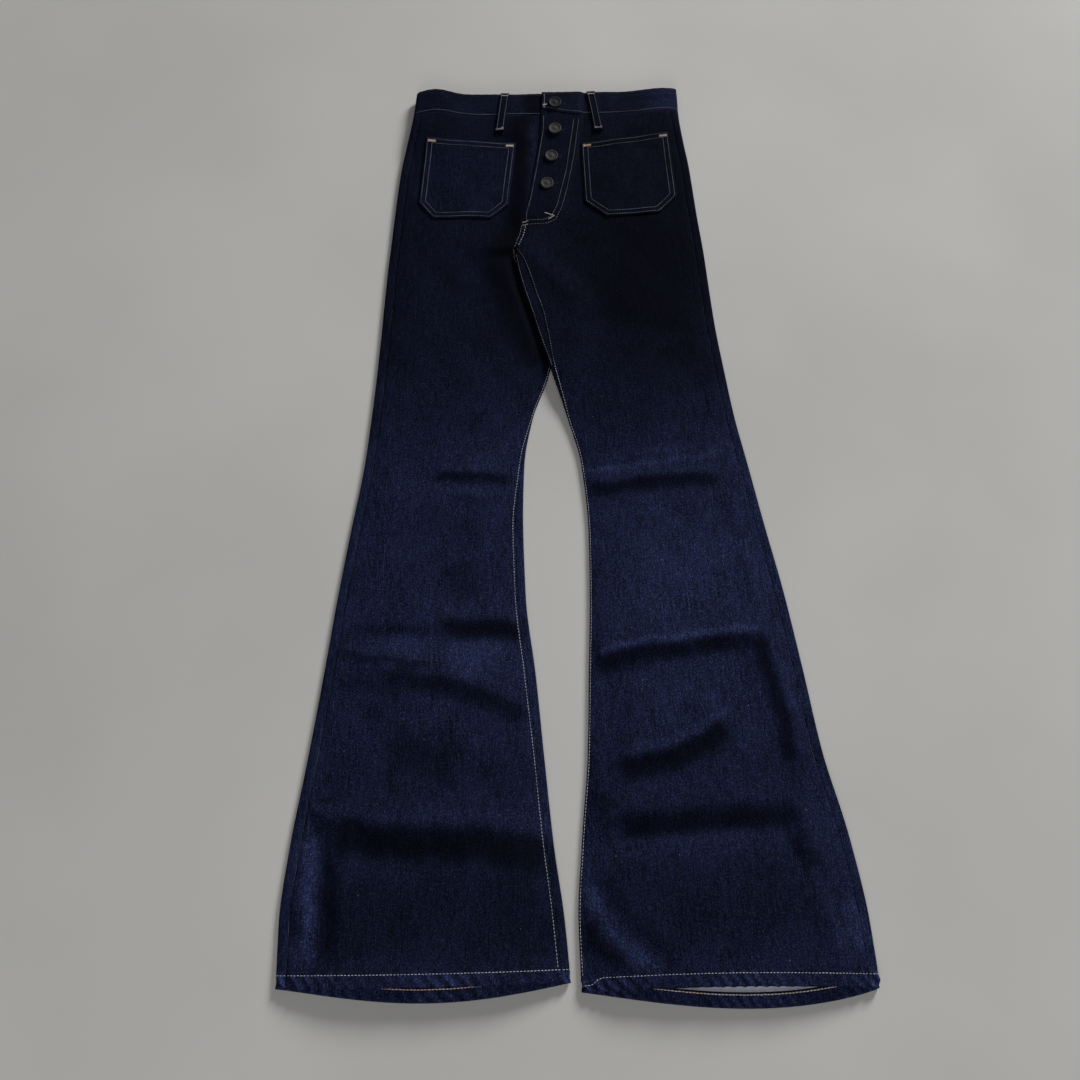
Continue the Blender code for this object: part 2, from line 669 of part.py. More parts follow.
def back_loop(name, x, material):
    """A belt loop under the back of the waistband, flat on the surface."""

    def locate(column, row, inner):
        y = mix(WAIST - BACK_LOOP_TAIL, WAIST_TOP - 1.0, row / 3.0)
        return Vector((x + (column - 0.5) * LOOP_WIDTH, y, LOOP_THICKNESS if inner else 0.0))

    return slab(f"belt_loop_back_{name}", 1, 3, locate, material)


def button_profile():
    """The turned outline from the cap's middle, over its rim, to the foot of the shank, in mm."""
    shank_foot = -FLY_RAISE + SEAM_GAP
    return [
        (0.0, BUTTON_HEIGHT - 0.5),
        (BUTTON_RADIUS * 0.62, BUTTON_HEIGHT - 0.7),
        (BUTTON_RADIUS * 0.78, BUTTON_HEIGHT),
        (BUTTON_RADIUS * 0.92, BUTTON_HEIGHT - 0.3),
        (BUTTON_RADIUS, BUTTON_HEIGHT - 1.3),
        (BUTTON_RADIUS * 0.88, SEAM_GAP),
        (SHANK_RADIUS, SEAM_GAP),
        (SHANK_RADIUS, shank_foot),
        (0.0, shank_foot),
    ]


def button(name, x, y, cloth, material):
    """A shank button: its profile turned round the upright axis."""
    mesh = bpy.data.meshes.new(f"button_{name}")
    profile = button_profile()
    edges = [(i, i + 1) for i in range(len(profile) - 1)]
    mesh.from_pydata([(r * MM, 0.0, z * MM) for r, z in profile], edges, [])
    mesh.materials.append(material)
    obj = add_object(f"button_{name}", mesh)
    obj.location = Vector((x, y, cloth(x, y, BUTTON_RADIUS * 0.8))) * MM
    turn = obj.modifiers.new("turn", "SCREW")
    turn.axis = "Z"
    turn.steps = turn.render_steps = 16
    turn.use_merge_vertices = True
    turn.merge_threshold = 0.00001
    mesh.shade_smooth()
    return obj


def buttonhole(name, x, y, host, cloth, raised):
    """Cuts a keyhole buttonhole, an eye with a slit that runs away from the fly's edge, through one layer."""
    height = cloth(x, y, 0.0)
    low, high = height - raised + HOLE_CLEARANCE, height + HOLE_RISE
    for part in ("eye", "slit"):
        bm = bmesh.new()
        if part == "eye":
            bmesh.ops.create_cone(bm, cap_ends=True, segments=12, radius1=EYE_RADIUS * MM,
                                  radius2=EYE_RADIUS * MM, depth=(high - low) * MM)
            middle = x
        else:
            bmesh.ops.create_cube(bm, size=1.0)
            bmesh.ops.scale(bm, vec=Vector((SLIT_LENGTH, SLIT_WIDTH, high - low)) * MM, verts=bm.verts)
            middle = x + SLIT_LENGTH / 2.0
        mesh = bpy.data.meshes.new(f"cut_{name}_{part}")
        bm.to_mesh(mesh)
        bm.free()
        cutter = bpy.data.objects.new(mesh.name, mesh)
        cutting.objects.link(cutter)
        cutter.parent = origin
        cutter.location = Vector((middle, y, (low + high) / 2.0)) * MM
        cutter.hide_render = True
        cutter.display_type = "WIRE"
        cut = host.modifiers.new(mesh.name, "BOOLEAN")
        cut.operation = "DIFFERENCE"
        cut.solver = "EXACT"
        cut.object = cutter


def plain_material(name, colour, roughness, metallic=0.0):
    material = bpy.data.materials.new(name)
    material.use_nodes = True
    shader = material.node_tree.nodes["Principled BSDF"]
    shader.inputs["Base Color"].default_value = (*colour, 1.0)
    shader.inputs["Roughness"].default_value = roughness
    shader.inputs["Metallic"].default_value = metallic
    material.diffuse_color = (*colour, 1.0)
    return material


def denim_material():
    return plain_material("raw_indigo_denim", (0.012, 0.018, 0.045), 0.85)


def button_material():
    return plain_material("antique_button_metal", (0.10, 0.095, 0.09), 0.45, 0.9)


def centre_on_origin(objects):
    """Moves the parent so that the middle of the garment's box stands on the origin."""
    corners = [obj.location + v.co for obj in objects for v in obj.data.vertices]
    low = Vector([min(c[i] for c in corners) for i in range(3)])
    high = Vector([max(c[i] for c in corners) for i in range(3)])
    middle = (low + high) / 2.0
    origin.location = (-middle.x, -middle.y, -low.z)
    return middle


clear_scene()
jeans = bpy.data.collections.new("flared_jeans")
cutting = bpy.data.collections.new("cutters")
bpy.context.scene.collection.children.link(jeans)
bpy.context.scene.collection.children.link(cutting)
origin = bpy.data.objects.new("flared_jeans_origin", None)
jeans.objects.link(origin)

denim = denim_material()
metal = button_material()

fronts, backs = {}, {}
for side in SIDES:
    fronts[side] = panel(f"front_leg_{side}", front_point, FRONT_CELLS, side, -OUTWARD[side], denim)
    backs[side] = panel(f"back_leg_{side}", back_point, BACK_CELLS, side, OUTWARD[side], denim)
band = waistband(denim)
stand = button_stand(denim)

over_fronts = lie_on(list(fronts.values()))
over_band = lie_on(list(fronts.values()) + [band])
for side in SIDES:
    pocket(side, over_fronts, denim)
    front_loop(side, over_band, denim)
for name, x in BACK_LOOP_PLACES:
    back_loop(name, x, denim)
for name, x, y in BUTTON_PLACES:
    host, raised = (band, BAND_RAISE) if name == "waist" else (fronts["left"], FLY_RAISE)
    button(name, x, y, over_band, metal)
    buttonhole(name, x, y, host, over_band, raised)

middle = centre_on_origin([obj for obj in jeans.objects if obj.type == "MESH"])
print("garment's middle, mm:", [round(value / MM, 2) for value in middle])
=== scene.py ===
# %% [markdown]
# # Flared jeans, laid flat on their back
# A pair of raw indigo jeans with wide hems, two patch pockets and a fly of exposed metal buttons.
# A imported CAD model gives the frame: every panel, the waistband, pockets, loops and buttons, in metres.
# This lesson dresses that frame. Each stiff CAD panel is swapped for a thin shell of cloth with the same
# form, finer creases, a woven finish and real stitches.

import math
from collections import namedtuple

import bmesh
import bpy
import numpy as np
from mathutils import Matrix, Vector
from mathutils.bvhtree import BVHTree

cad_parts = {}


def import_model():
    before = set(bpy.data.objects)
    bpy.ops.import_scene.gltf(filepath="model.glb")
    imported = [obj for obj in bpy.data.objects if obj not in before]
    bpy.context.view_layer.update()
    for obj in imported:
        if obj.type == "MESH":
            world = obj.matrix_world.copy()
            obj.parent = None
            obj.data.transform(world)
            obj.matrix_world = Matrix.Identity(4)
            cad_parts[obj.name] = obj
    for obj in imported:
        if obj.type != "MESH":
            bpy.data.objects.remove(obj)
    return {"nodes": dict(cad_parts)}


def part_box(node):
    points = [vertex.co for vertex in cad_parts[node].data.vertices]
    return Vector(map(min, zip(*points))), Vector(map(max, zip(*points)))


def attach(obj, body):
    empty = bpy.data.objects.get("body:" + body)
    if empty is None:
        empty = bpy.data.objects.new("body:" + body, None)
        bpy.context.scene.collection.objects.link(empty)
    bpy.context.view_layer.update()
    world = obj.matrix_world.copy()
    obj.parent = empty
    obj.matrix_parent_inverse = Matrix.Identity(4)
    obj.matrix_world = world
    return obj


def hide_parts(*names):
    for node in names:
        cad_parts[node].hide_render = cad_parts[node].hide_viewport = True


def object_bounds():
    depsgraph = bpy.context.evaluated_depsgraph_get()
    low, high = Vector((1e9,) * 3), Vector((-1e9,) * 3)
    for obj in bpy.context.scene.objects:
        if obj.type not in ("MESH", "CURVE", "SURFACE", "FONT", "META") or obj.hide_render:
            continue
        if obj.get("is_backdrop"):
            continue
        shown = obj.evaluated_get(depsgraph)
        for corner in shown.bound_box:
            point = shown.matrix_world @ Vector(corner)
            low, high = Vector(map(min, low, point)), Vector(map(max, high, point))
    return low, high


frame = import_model()
cad_low, cad_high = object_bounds()
print("nodes:", len(frame["nodes"]), "box in mm:", [round(v * 1000, 1) for v in cad_high - cad_low])

# %% [markdown]
# ## The garment's own frame
# A pattern maker measures from the hem line and the centre front, so the sizes below do the same, in
# millimetres: +X towards the wearer's left, +Y up to the waist, +Z off the floor. The middle belt loop
# at the back is centred on X = 0 and starts at a known height, so its CAD box says where that frame is.

# %% Find the garment's frame
MM = 0.001
WAIST = 1062.0
BACK_LOOP_TAIL = 12.0

loop_low, loop_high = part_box("belt_loop_back_centre")
SHIFT = np.array([(loop_low.x + loop_high.x) / 2.0, loop_low.y - (WAIST - BACK_LOOP_TAIL) * MM, 0.0])
print("the garment's frame starts at", SHIFT.round(4))


def world(points):
    """Garment millimetres to metres in the row frame."""
    return np.asarray(points, float) * MM + SHIFT


# %% [markdown]
# ## The camera
# The camera hangs over the hems and leans a little towards the waist, so the hems look wider than the
# waist by more than their cut. A 36 mm lens on a 36 mm sensor sees as wide as it is far.

# %% Hang the camera
CAMERA_PLACE = (-37.32, 38.16, 1159.15)
CAMERA_LEAN = 20.374
CAMERA_TURN = -1.4553
CAMERA_LENS = 36.0

camera = bpy.data.objects.new("camera", bpy.data.cameras.new("camera"))
bpy.context.scene.collection.objects.link(camera)
camera.location = Vector(world(CAMERA_PLACE))
camera.rotation_euler = (math.radians(CAMERA_LEAN), 0.0, math.radians(CAMERA_TURN))
camera.data.lens = CAMERA_LENS
camera.data.sensor_width = CAMERA_LENS
camera.data.dof.use_dof = False
bpy.context.scene.camera = camera
print("the camera hangs at", [round(v, 3) for v in camera.location])

# %% [markdown]
# ## The cut
# The tables hold the same sizes as the CAD source. Each row of LEVELS is a height up the legs: the four
# folded edges, how tight those folds are, how high the top layer stands in its middle, and how far the
# inseams lie in from the inner folds. Everything between the rows is read from a smooth curve.

# %% Sizes of the cloth
DENIM = 1.2
DOUBLED = 2.4  # two layers sewn together: the hem, the waistband and the button stand
SEAM_GAP = 0.3
HEM_DEPTH = 13.5
HEM_STITCH = 12.0
CROTCH = 859.0
FLY_FOOT = 895.0
WAIST_TOP = 1100.0
WEB = 12.0  # over this height above the crotch the two tubes open into the seat
OUTSEAM_IN = 10.5
HEM_FADE = 190.0
FOLD_EDGE = 9.0
OUTWARD = {"right": -1.0, "left": 1.0}
SIDES = ("right", "left")
print("from hem to waist:", WAIST_TOP, "mm, in denim", DENIM, "mm thick")

# %% Sizes of the crossed thighs
THIGH_LIFT = 6.2  # the left thigh is carried this high by the right one
THIGH_REST = 16.0
THIGH_SLOPE = 46.0
THIGH_TOP = 848.0
THIGH_FOOT = 690.0
THIGH_FADE = 120.0
COVER_REACH, COVER_FADE = 15.0, 14.0  # where the right leg starts to flatten under the left one, and how fast
CROTCH_FADE = 34.0
SEAT_BLEND = 90.0
print("the left thigh lies on the right one over", THIGH_TOP - THIGH_FOOT, "mm")

# %% Sizes of the fly and the waist
CORNER_X = 150.0
CORNER_WIDTH = 26.0
CORNER_PUFF, PUFF_CLIMB = 3.5, 70.0
CORNER_RISE = {"right": 6.5, "left": 0.8}
FLY_OVERLAP, OVERLAP_START, OVERLAP_CLIMB = 10.0, 20.0, 12.0
FLY_RAISE = 2.0
FLY_CLIMB = 15.0
FLY_STEP = 7.0
BAND_RAISE = 3.2
BAND_TILT = 9.0
BAND_TILT_WIDTH = 48.0
BAND_UNDERLAP = 42.0
STAND_WIDTH = 29.0
STAND_FOOT = 929.0
LOOP_WIDTH = 12.0
LOOP_THICKNESS = 2.0
BACK_LOOP_LIFT = LOOP_THICKNESS + SEAM_GAP
REST_FULL = WAIST - BACK_LOOP_TAIL - 4.0  # from here up the waist lies on its back loops
REST_START = REST_FULL - 42.0
WAIST_FADE = 120.0
WAIST_NEAR = 60.0  # from this far below the waistband's seam the waist's own forms come in
WAIST_HALF = 175.0
WAIST_DIP = 4.0
BACK_RISE = 1.5
print("the garment rests on its back loops from", REST_FULL, "mm up")

# %% Tables of the cut
Level = namedtuple("Level", "level right_out right_in left_in left_out radius crown right_seam left_seam")
LEVELS = [
    Level(0, -300.0, -7.5, 2.6, 298.5, 3.2, 12.5, 8.0, 0.0),
    Level(60, -300.5, -12.0, 2.0, 296.0, 2.5, 9.5, 9.0, 0.0),
    Level(130, -294.0, -20.5, 8.0, 286.5, 2.5, 7.5, 8.0, 0.0),
    Level(220, -280.0, -28.0, 18.0, 268.0, 2.5, 6.5, 8.0, 0.0),
    Level(310, -267.0, -35.0, 23.0, 257.0, 2.5, 6.0, 9.5, 0.0),
    Level(400, -255.0, -44.0, 27.7, 245.0, 2.5, 5.5, 9.0, 0.0),
    Level(480, -243.0, -45.3, 29.5, 231.5, 2.5, 5.0, 9.0, 0.0),
    Level(560, -230.0, -42.4, 24.4, 218.7, 2.5, 5.0, 3.0, 0.0),
    Level(620, -223.7, -31.5, 10.5, 209.0, 2.5, 5.0, 0.0, 0.0),
    Level(680, -218.5, -10.2, -6.5, 202.4, 2.5, 4.8, 0.0, 2.5),
    Level(740, -214.3, 1.0, -23.0, 196.5, 2.5, 4.6, 0.0, 10.0),
    Level(770, -212.5, 0.0, -31.0, 194.6, 2.5, 4.6, 0.0, 12.5),
    Level(805, -210.2, -14.0, -41.0, 192.8, 2.5, 4.6, 0.0, 12.5),
    Level(835, -208.2, -40.0, -46.6, 191.4, 2.5, 4.8, 0.0, 9.5),
    Level(THIGH_TOP, -207.1, -48.0, -47.7, 190.7, 2.5, 4.9, 0.0, 5.0),
    Level(CROTCH, -206.0, -48.65, -48.35, 190.0, 2.5, 5.0, 0.0, 0.0),
    Level(900, -202.7, -48.65, -48.35, 186.7, 2.7, 5.5, 0.0, 0.0),
    Level(980, -194.7, -48.65, -48.35, 181.5, 3.4, 5.0, 0.0, 0.0),
    Level(WAIST, -179.6, -48.65, -48.35, 172.9, 4.8, 2.2, 0.0, 0.0),
    Level(WAIST_TOP, -175.5, -48.65, -48.35, 173.2, 4.8, 1.6, 0.0, 0.0),
]

Rise = namedtuple("Rise", "level front fly_end back")
RISES = [
    Rise(CROTCH, -48.5, -48.0, -48.5),
    Rise(868, -43.5, -44.0, -41.0),
    Rise(FLY_FOOT, -36.2, -12.0, -26.0),
    Rise(910, -35.6, 10.0, -20.0),
    Rise(930, -30.0, 16.5, -13.0),
    Rise(984, -19.8, 29.0, -3.0),
    Rise(1041, -10.5, 38.0, 0.0),
    Rise(WAIST_TOP, -8.5, 42.0, 0.0),
]

Hem = namedtuple("Hem", "at_out at_in front back lowest")
HEMS = {"right": Hem(-0.5, 1.0, 1.2, 16.0, 0.52), "left": Hem(13.0, 10.0, -3.5, 17.5, 0.42)}


def monotone(levels, values):
    """A smooth curve through a table's column that never overshoots its rows."""
    levels, values = np.asarray(levels, float), np.asarray(values, float)
    slopes = np.diff(values) / np.diff(levels)
    before, after = slopes[:-1], slopes[1:]
    total = np.where(before + after == 0.0, 1.0, before + after)
    inner = np.where(before * after > 0.0, 2.0 * before * after / total, 0.0)
    tangents = np.concatenate([slopes[:1], inner, slopes[-1:]])

    def at(level):
        level = np.clip(level, levels[0], levels[-1])
        i = np.clip(np.searchsorted(levels, level, side="right") - 1, 0, len(levels) - 2)
        span = levels[i + 1] - levels[i]
        t = (level - levels[i]) / span
        return (
            values[i] * (2 * t**3 - 3 * t**2 + 1)
            + tangents[i] * span * (t**3 - 2 * t**2 + t)
            + values[i + 1] * (3 * t**2 - 2 * t**3)
            + tangents[i + 1] * span * (t**3 - t**2)
        )

    return at


CURVES = {}
for table in (LEVELS, RISES):
    for column in table[0]._fields[1:]:
        CURVES[column] = monotone([row.level for row in table], [getattr(row, column) for row in table])


def read(column, level):
    return CURVES[column](level)


print("the legs are", round(float(read("left_out", 0) - read("left_in", 0))), "mm wide at the hem and",
      round(float(read("left_out", 480) - read("left_in", 480))), "mm at the knee")

# %% [markdown]
# ## Creases
# Denim this stiff keeps the folds it was packed with. A crease is a route on the cloth with a soft
# profile across it, wider on one side than on the other, as a fold that leans is. A height below zero is
# a valley, and sharp is 1 for a crease pressed to a line and 2 for a soft swell. A simulation could fold
# the cloth too, but it would not put these folds where they lie here.

# %% Table of creases
Crease = namedtuple("Crease", "route left right height sharp")
CREASES = {
    "right": [
        # knee and shin: left is towards the waist on a route that runs to +X
        Crease([(-152, 553), (-110, 552), (-60, 549)], 12, 8, 3.2, 1.25),
        Crease([(-135, 538), (-98, 535), (-60, 533)], 8, 7, -1.4, 1.6),
        Crease([(-130, 527), (-100, 521), (-60, 519)], 5, 8, 1.9, 1.4),
        Crease([(-214, 532), (-184, 508), (-174, 478)], 14, 14, 2, 2.0),
        Crease([(-130, 442), (-118, 404)], 10, 10, 1.7, 2.0),
        Crease([(-225, 376), (-186, 371), (-140, 368)], 15, 8, 1.9, 1.6),
        Crease([(-150, 375), (-120, 374), (-90, 373), (-50, 371)], 18, 12, 3.8, 1.4),
        Crease([(-129, 357), (-90, 356), (-48, 356)], 14, 18, -3.0, 1.2),
        Crease([(-246, 341), (-214, 331), (-186, 315), (-150, 306)], 7, 12, 2.4, 1.4),
        Crease([(-152, 313), (-125, 307), (-100, 300), (-75, 289), (-46, 272)], 26, 17, 5.0, 1.2),
        Crease([(-206, 300), (-196, 256), (-162, 236), (-136, 220)], 18, 18, 2, 2.0),
        Crease([(-50, 262), (-47, 228), (-44, 196)], 8, 9, 1.8, 1.6),
        Crease([(-262, 242), (-266, 188)], 8, 8, -1.7, 2.0),
        # hem end
        Crease([(-278, 174), (-262, 169), (-250, 163)], 5, 6, 2.4, 1.3),
        Crease([(-250, 167), (-200, 160), (-150, 157), (-100, 157), (-50, 151), (-24, 142)],
               16, 26, 6.4, 1.4),
        Crease([(-236, 133), (-200, 124), (-150, 124), (-104, 118)], 18, 22, -3.2, 1.3),
        Crease([(-78, 122), (-50, 106), (-42, 68)], 18, 18, 2.2, 2.0),
        Crease([(-262, 166), (-258, 130), (-257, 90), (-254, 50), (-256, 18)], 11, 26, -2.8, 1.3),
        Crease([(-243, 158), (-240, 110), (-237, 60), (-240, 24)], 15, 8, 2.4, 1.6),
        Crease([(-238, 146), (-243, 116)], 5, 5, -1.5, 1.6),
        Crease([(-277, 86), (-272, 48)], 8, 8, 1.9, 2.0),
        Crease([(-288, 62), (-280, 38), (-268, 15)], 8, 7, -1.6, 1.6),
        Crease([(-36, 64), (-33, 28)], 7, 7, -1.1, 2.0),
        # the cloth climbs towards the fly and towards the crossed thigh
        Crease([(-30, 1052), (-36, 1000), (-36, 940), (-42, 890), (-52, 862)], 8, 20, 2.6, 1.6),
        Crease([(-62, 850), (-58, 820), (-46, 780), (-34, 735), (-26, 705)], 12, 26, 2.4, 1.7),
    ],
    "left": [
        # knee
        Crease([(75, 562), (125, 570), (196, 575)], 6, 9, 1.9, 1.4),
        Crease([(28, 536), (55, 535), (100, 541), (150, 543), (186, 542)], 14, 11, 4.4, 1.25),
        Crease([(192, 522), (199, 480), (205, 430), (214, 374)], 6, 9, 1.9, 1.5),
        # shin
        Crease([(24, 324), (50, 333), (90, 338), (125, 339), (150, 344), (182, 348), (217, 350)],
               30, 13, 6.0, 1.15),
        Crease([(216, 353), (223, 330), (229, 300), (236, 268), (241, 238), (240, 206)], 13, 16, 4.8, 1.2),
        Crease([(246, 330), (254, 262), (262, 196)], 9, 9, -1.5, 1.8),
        Crease([(183, 312), (195, 270), (201, 236)], 12, 10, -1.5, 1.8),
        Crease([(28, 324), (46, 300)], 8, 7, -1.2, 1.8),
        Crease([(27, 293), (48, 282)], 7, 7, 1.4, 1.8),
        Crease([(44, 216), (75, 220), (100, 226), (125, 234), (150, 249), (172, 262)], 28, 13, 5.2, 1.15),
        Crease([(170, 262), (178, 236)], 10, 9, 1.6, 2.0),
        # hem end
        Crease([(26, 200), (36, 174), (44, 148)], 13, 13, 2.4, 1.8),
        Crease([(38, 163), (100, 167), (160, 169), (204, 168)], 24, 20, 5.0, 1.6),
        Crease([(32, 134), (75, 136), (125, 139), (175, 143), (206, 145)], 17, 13, -4.4, 1.15),
        Crease([(232, 170), (238, 140), (236, 112)], 11, 10, 3.4, 1.6),
        Crease([(212, 147), (222, 125), (232, 100), (237, 78)], 5, 10, -2.4, 1.3),
        Crease([(245, 112), (255, 78), (264, 52), (270, 24)], 8, 6, -2.4, 1.3),
        Crease([(247, 66), (258, 40), (262, 15)], 6, 11, 2.2, 1.5),
        Crease([(15, 100), (24, 75), (35, 50), (56, 27), (86, 10)], 13, 9, -3.6, 1.4),
        Crease([(10, 62), (24, 36), (44, 19), (64, 8)], 8, 10, 3.8, 1.5),
        Crease([(24, 110), (45, 88), (62, 62), (96, 24)], 13, 10, 2, 1.8),
        Crease([(104, 72), (168, 58), (232, 70)], 26, 30, 1.3, 2.0),
        # thigh and seat
        Crease([(-18, 884), (-6, 800), (14, 722)], 24, 20, -1.4, 2.0),
        Crease([(60, 868), (84, 780), (96, 700)], 34, 30, 1.5, 2.0),
        Crease([(182, 690), (190, 640), (196, 600)], 9, 9, 1.2, 2.0),
    ],
}
CREASE_END = 0.17  # a crease fades out over this share of its length
RAGGED = 0.9  # how far a crease wanders from its route, in mm
LONG_WANDER, SHORT_WANDER = 7.0, 3.1  # the two waves that it wanders in, in mm a radian
END_STRENGTH = 0.25  # what is left of a crease's height at its very end
BLUNT = 1.2  # how round the ridge line of a crease is, in mm
LEAST_ROOM = 3.1  # from the floor to the top layer's face, in mm, where a trough is deepest
ROOM_SOFTNESS = 0.8  # how gently a trough levels off there, in mm


def ramp(value):
    """A smooth step from 0 to 1."""
    value = np.clip(value, 0.0, 1.0)
    return value * value * (3.0 - 2.0 * value)


def mix(a, b, share):
    return a + (b - a) * share


def relief(rows, x, y, end=CREASE_END):
    """What creases add up to at the points x, y."""
    x, y = np.broadcast_arrays(np.asarray(x, float), np.asarray(y, float))
    total = np.zeros(x.shape)
    for crease in rows:
        lengths = [math.dist(a, b) for a, b in zip(crease.route, crease.route[1:])]
        best, run, hand = np.full(x.shape, 1e9), np.zeros(x.shape), np.zeros(x.shape)
        passed = 0.0
        for (ax, ay), (bx, by), length in zip(crease.route, crease.route[1:], lengths):
            t = np.clip(((x - ax) * (bx - ax) + (y - ay) * (by - ay)) / length**2, 0.0, 1.0)
            away = np.hypot(x - mix(ax, bx, t), y - mix(ay, by, t))
            turn = (bx - ax) * (y - ay) - (by - ay) * (x - ax)
            nearer = away < best
            best = np.where(nearer, away, best)
            hand = np.where(nearer, turn, hand)
            run = np.where(nearer, passed + t * length, run)
            passed += length
        start = crease.route[0][0]
        ragged = RAGGED * (np.sin(run / LONG_WANDER + start) + 0.6 * np.sin(run / SHORT_WANDER + 2.0 * start))
        away, along = np.copysign(best, hand) + ragged, run / passed
        width = np.where(away > 0.0, crease.left, crease.right)
        ends = ramp(along / end) * ramp((1.0 - along) / end)
        blunt = np.hypot(away, BLUNT) - BLUNT
        strength = mix(END_STRENGTH, 1.0, ends)
        total += crease.height * np.exp(-((blunt / width) ** crease.sharp)) * strength
    return total


print("creases on the fronts:", [len(rows) for rows in CREASES.values()])

# %% [markdown]
# ## Painted shade and light on the cloth
# The cloth's dye carries painted shade and painted light. It is painted darker towards the waist, for the
# dimmer light there, and each crease gets painted shade on the flank that faces away from the window and
# a painted highlight on its lit lip. A shade is a route too, and its height says how much lighter or
# darker the cloth is there, about 1 to -1. The dye reads the sum from the mesh later. Below zero it is
# bent by an exponential, so that it nears -1 but never passes it.

# %% Table of shades
SHADE_END = 0.08  # a shade fades out over this share of its length
DARKENING = 1.6
SHADES = {
    "right": [
        # painted shade on broad places and on the creases' hem-side flanks, which face away from the window;
        # rows above zero are painted highlights
        # a painted shadow beside the fly's raised edge
        Crease([(-33, 1100), (-38, 1040), (-36, 980), (-38, 940), (-45, 890), (-60, 850)], 9, 13, -1.1, 2.0),
        # a painted shadow of the left thigh where it lies over the right one
        Crease([(-62, 870), (-62, 820), (-48, 780), (-30, 735), (-14, 690)], 26, 24, -1.0, 2.4),
        Crease([(-60, 660), (-170, 610)], 26, 26, -0.12, 2.0),
        Crease([(-190, 500), (-90, 480)], 26, 30, -0.15, 2.0),
        Crease([(-118, 440), (-100, 400)], 16, 20, -0.3, 2.0),
        Crease([(-190, 245), (-120, 215)], 26, 26, -0.35, 2.0),
        Crease([(-200, 345), (-70, 330)], 18, 22, 0.4, 2.0),
        Crease([(-270, 66), (0, 66)], 56, 60, -0.5, 3.0),
        Crease([(-262, 200), (-20, 190)], 40, 34, -0.2, 2.4),
        Crease([(-148, 546), (-110, 545), (-60, 542)], 4, 5, -0.5, 2.0),
        Crease([(-235, 366), (-180, 362), (-150, 361)], 4, 5, -0.35, 2.0),
        Crease([(-134, 361), (-90, 360), (-50, 359)], 11, 9, -0.9, 2.6),
        Crease([(-248, 340), (-215, 333), (-180, 327), (-147, 322)], 3, 5, -0.55, 2.0),
        Crease([(-232, 312), (-205, 300), (-180, 286)], 10, 12, -0.35, 2.0),
        Crease([(-200, 316), (-150, 302), (-120, 295), (-95, 287), (-72, 276), (-46, 260)], 9, 10, -0.6, 2.0),
        Crease([(-250, 150), (-200, 140), (-150, 136), (-100, 136), (-50, 127), (-24, 119)],
               13, 19, -0.95, 3.2),
        Crease([(-271, 150), (-271, 100), (-270, 20)], 7, 7, 0.8, 2.0),
        Crease([(-250, 130), (-248, 70), (-249, 30)], 8, 9, -0.3, 2.0),
        Crease([(-19, 1052), (-24, 990), (-31, 930)], 5, 5, 0.3, 2.0),
    ],
    "left": [
        # painted shade and painted highlights on the left leg, as on the right
        Crease([(130, 1010), (128, 880), (118, 770), (110, 730)], 60, 80, -0.7, 2.6),
        Crease([(60, 420), (200, 420)], 62, 50, 0.3, 2.0),
        Crease([(60, 290), (200, 300)], 34, 34, 0.15, 2.0),
        Crease([(20, 68), (262, 68)], 54, 60, -0.34, 3.0),
        Crease([(24, 196), (256, 196)], 34, 30, -0.17, 2.4),
        Crease([(26, 552), (60, 552), (110, 558), (190, 569)], 3, 4, 0.5, 2.0),
        Crease([(26, 331), (60, 340), (95, 346), (125, 347), (155, 352), (217, 357)], 3, 4, 0.6, 2.0),
        Crease([(60, 226), (110, 234), (150, 253), (174, 270)], 4, 5, 0.3, 2.0),
        Crease([(150, 720), (185, 660)], 30, 40, -0.3, 2.0),
        Crease([(40, 640), (130, 610)], 26, 26, -0.2, 2.0),
        Crease([(30, 528), (55, 526), (100, 533), (184, 536)], 6, 8, -0.7, 2.2),
        Crease([(28, 316), (60, 325), (95, 331), (125, 332), (155, 337), (214, 341)], 9, 9, -0.7, 2.4),
        Crease([(211, 345), (217, 310), (223, 280), (229, 250), (231, 205)], 6, 8, -0.85, 2.2),
        Crease([(50, 205), (90, 211), (120, 219), (145, 233), (168, 249)], 9, 11, -0.85, 2.6),
        Crease([(26, 180), (38, 160)], 14, 14, -0.4, 2.0),
        Crease([(42, 146), (100, 148), (160, 151), (240, 154)], 13, 10, -0.75, 2.4),
        Crease([(233, 140), (242, 100)], 9, 9, -0.4, 2.0),
        Crease([(18, 94), (26, 72), (39, 48), (60, 26), (84, 10)], 8, 9, 0.55, 2.0),
        Crease([(10, 56), (24, 34), (46, 16)], 9, 10, -0.6, 2.0),
        Crease([(275, 70), (284, 24)], 9, 9, 0.5, 2.0),
    ],
}
SHADE_LEVELS = [0, 530, 620, 740, 900, 1100]
# painted shade: the cloth darkens towards the waist, for the dimmer light there
PAINTED_WAIST_SHADE = {
    "right": monotone(SHADE_LEVELS, [0.0, 0.0, -0.2, -0.62, -0.7, -0.68]),
    "left": monotone(SHADE_LEVELS, [0.0, 0.0, -0.22, -0.68, -0.78, -0.75]),
}


def shade(side, x, y):
    """How much painted shade darkens, and painted light lightens, the plain dye at the points x, y."""
    tone = PAINTED_WAIST_SHADE[side](y) + relief(SHADES[side], x, y, SHADE_END)
    return np.where(tone < 0.0, np.exp(DARKENING * np.minimum(tone, 0.0)) - 1.0, tone)


print("shades on the fronts:", [len(rows) for rows in SHADES.values()])

# %% [markdown]
# ## The surface of the cloth
# Each leg is a flattened tube: the back panel lies on the floor and wraps round both folds, and the
# front panel lies on top. The functions below give a point of that surface for a height up the leg and
# a place across it. Working out every panel from one surface keeps the seams closed.

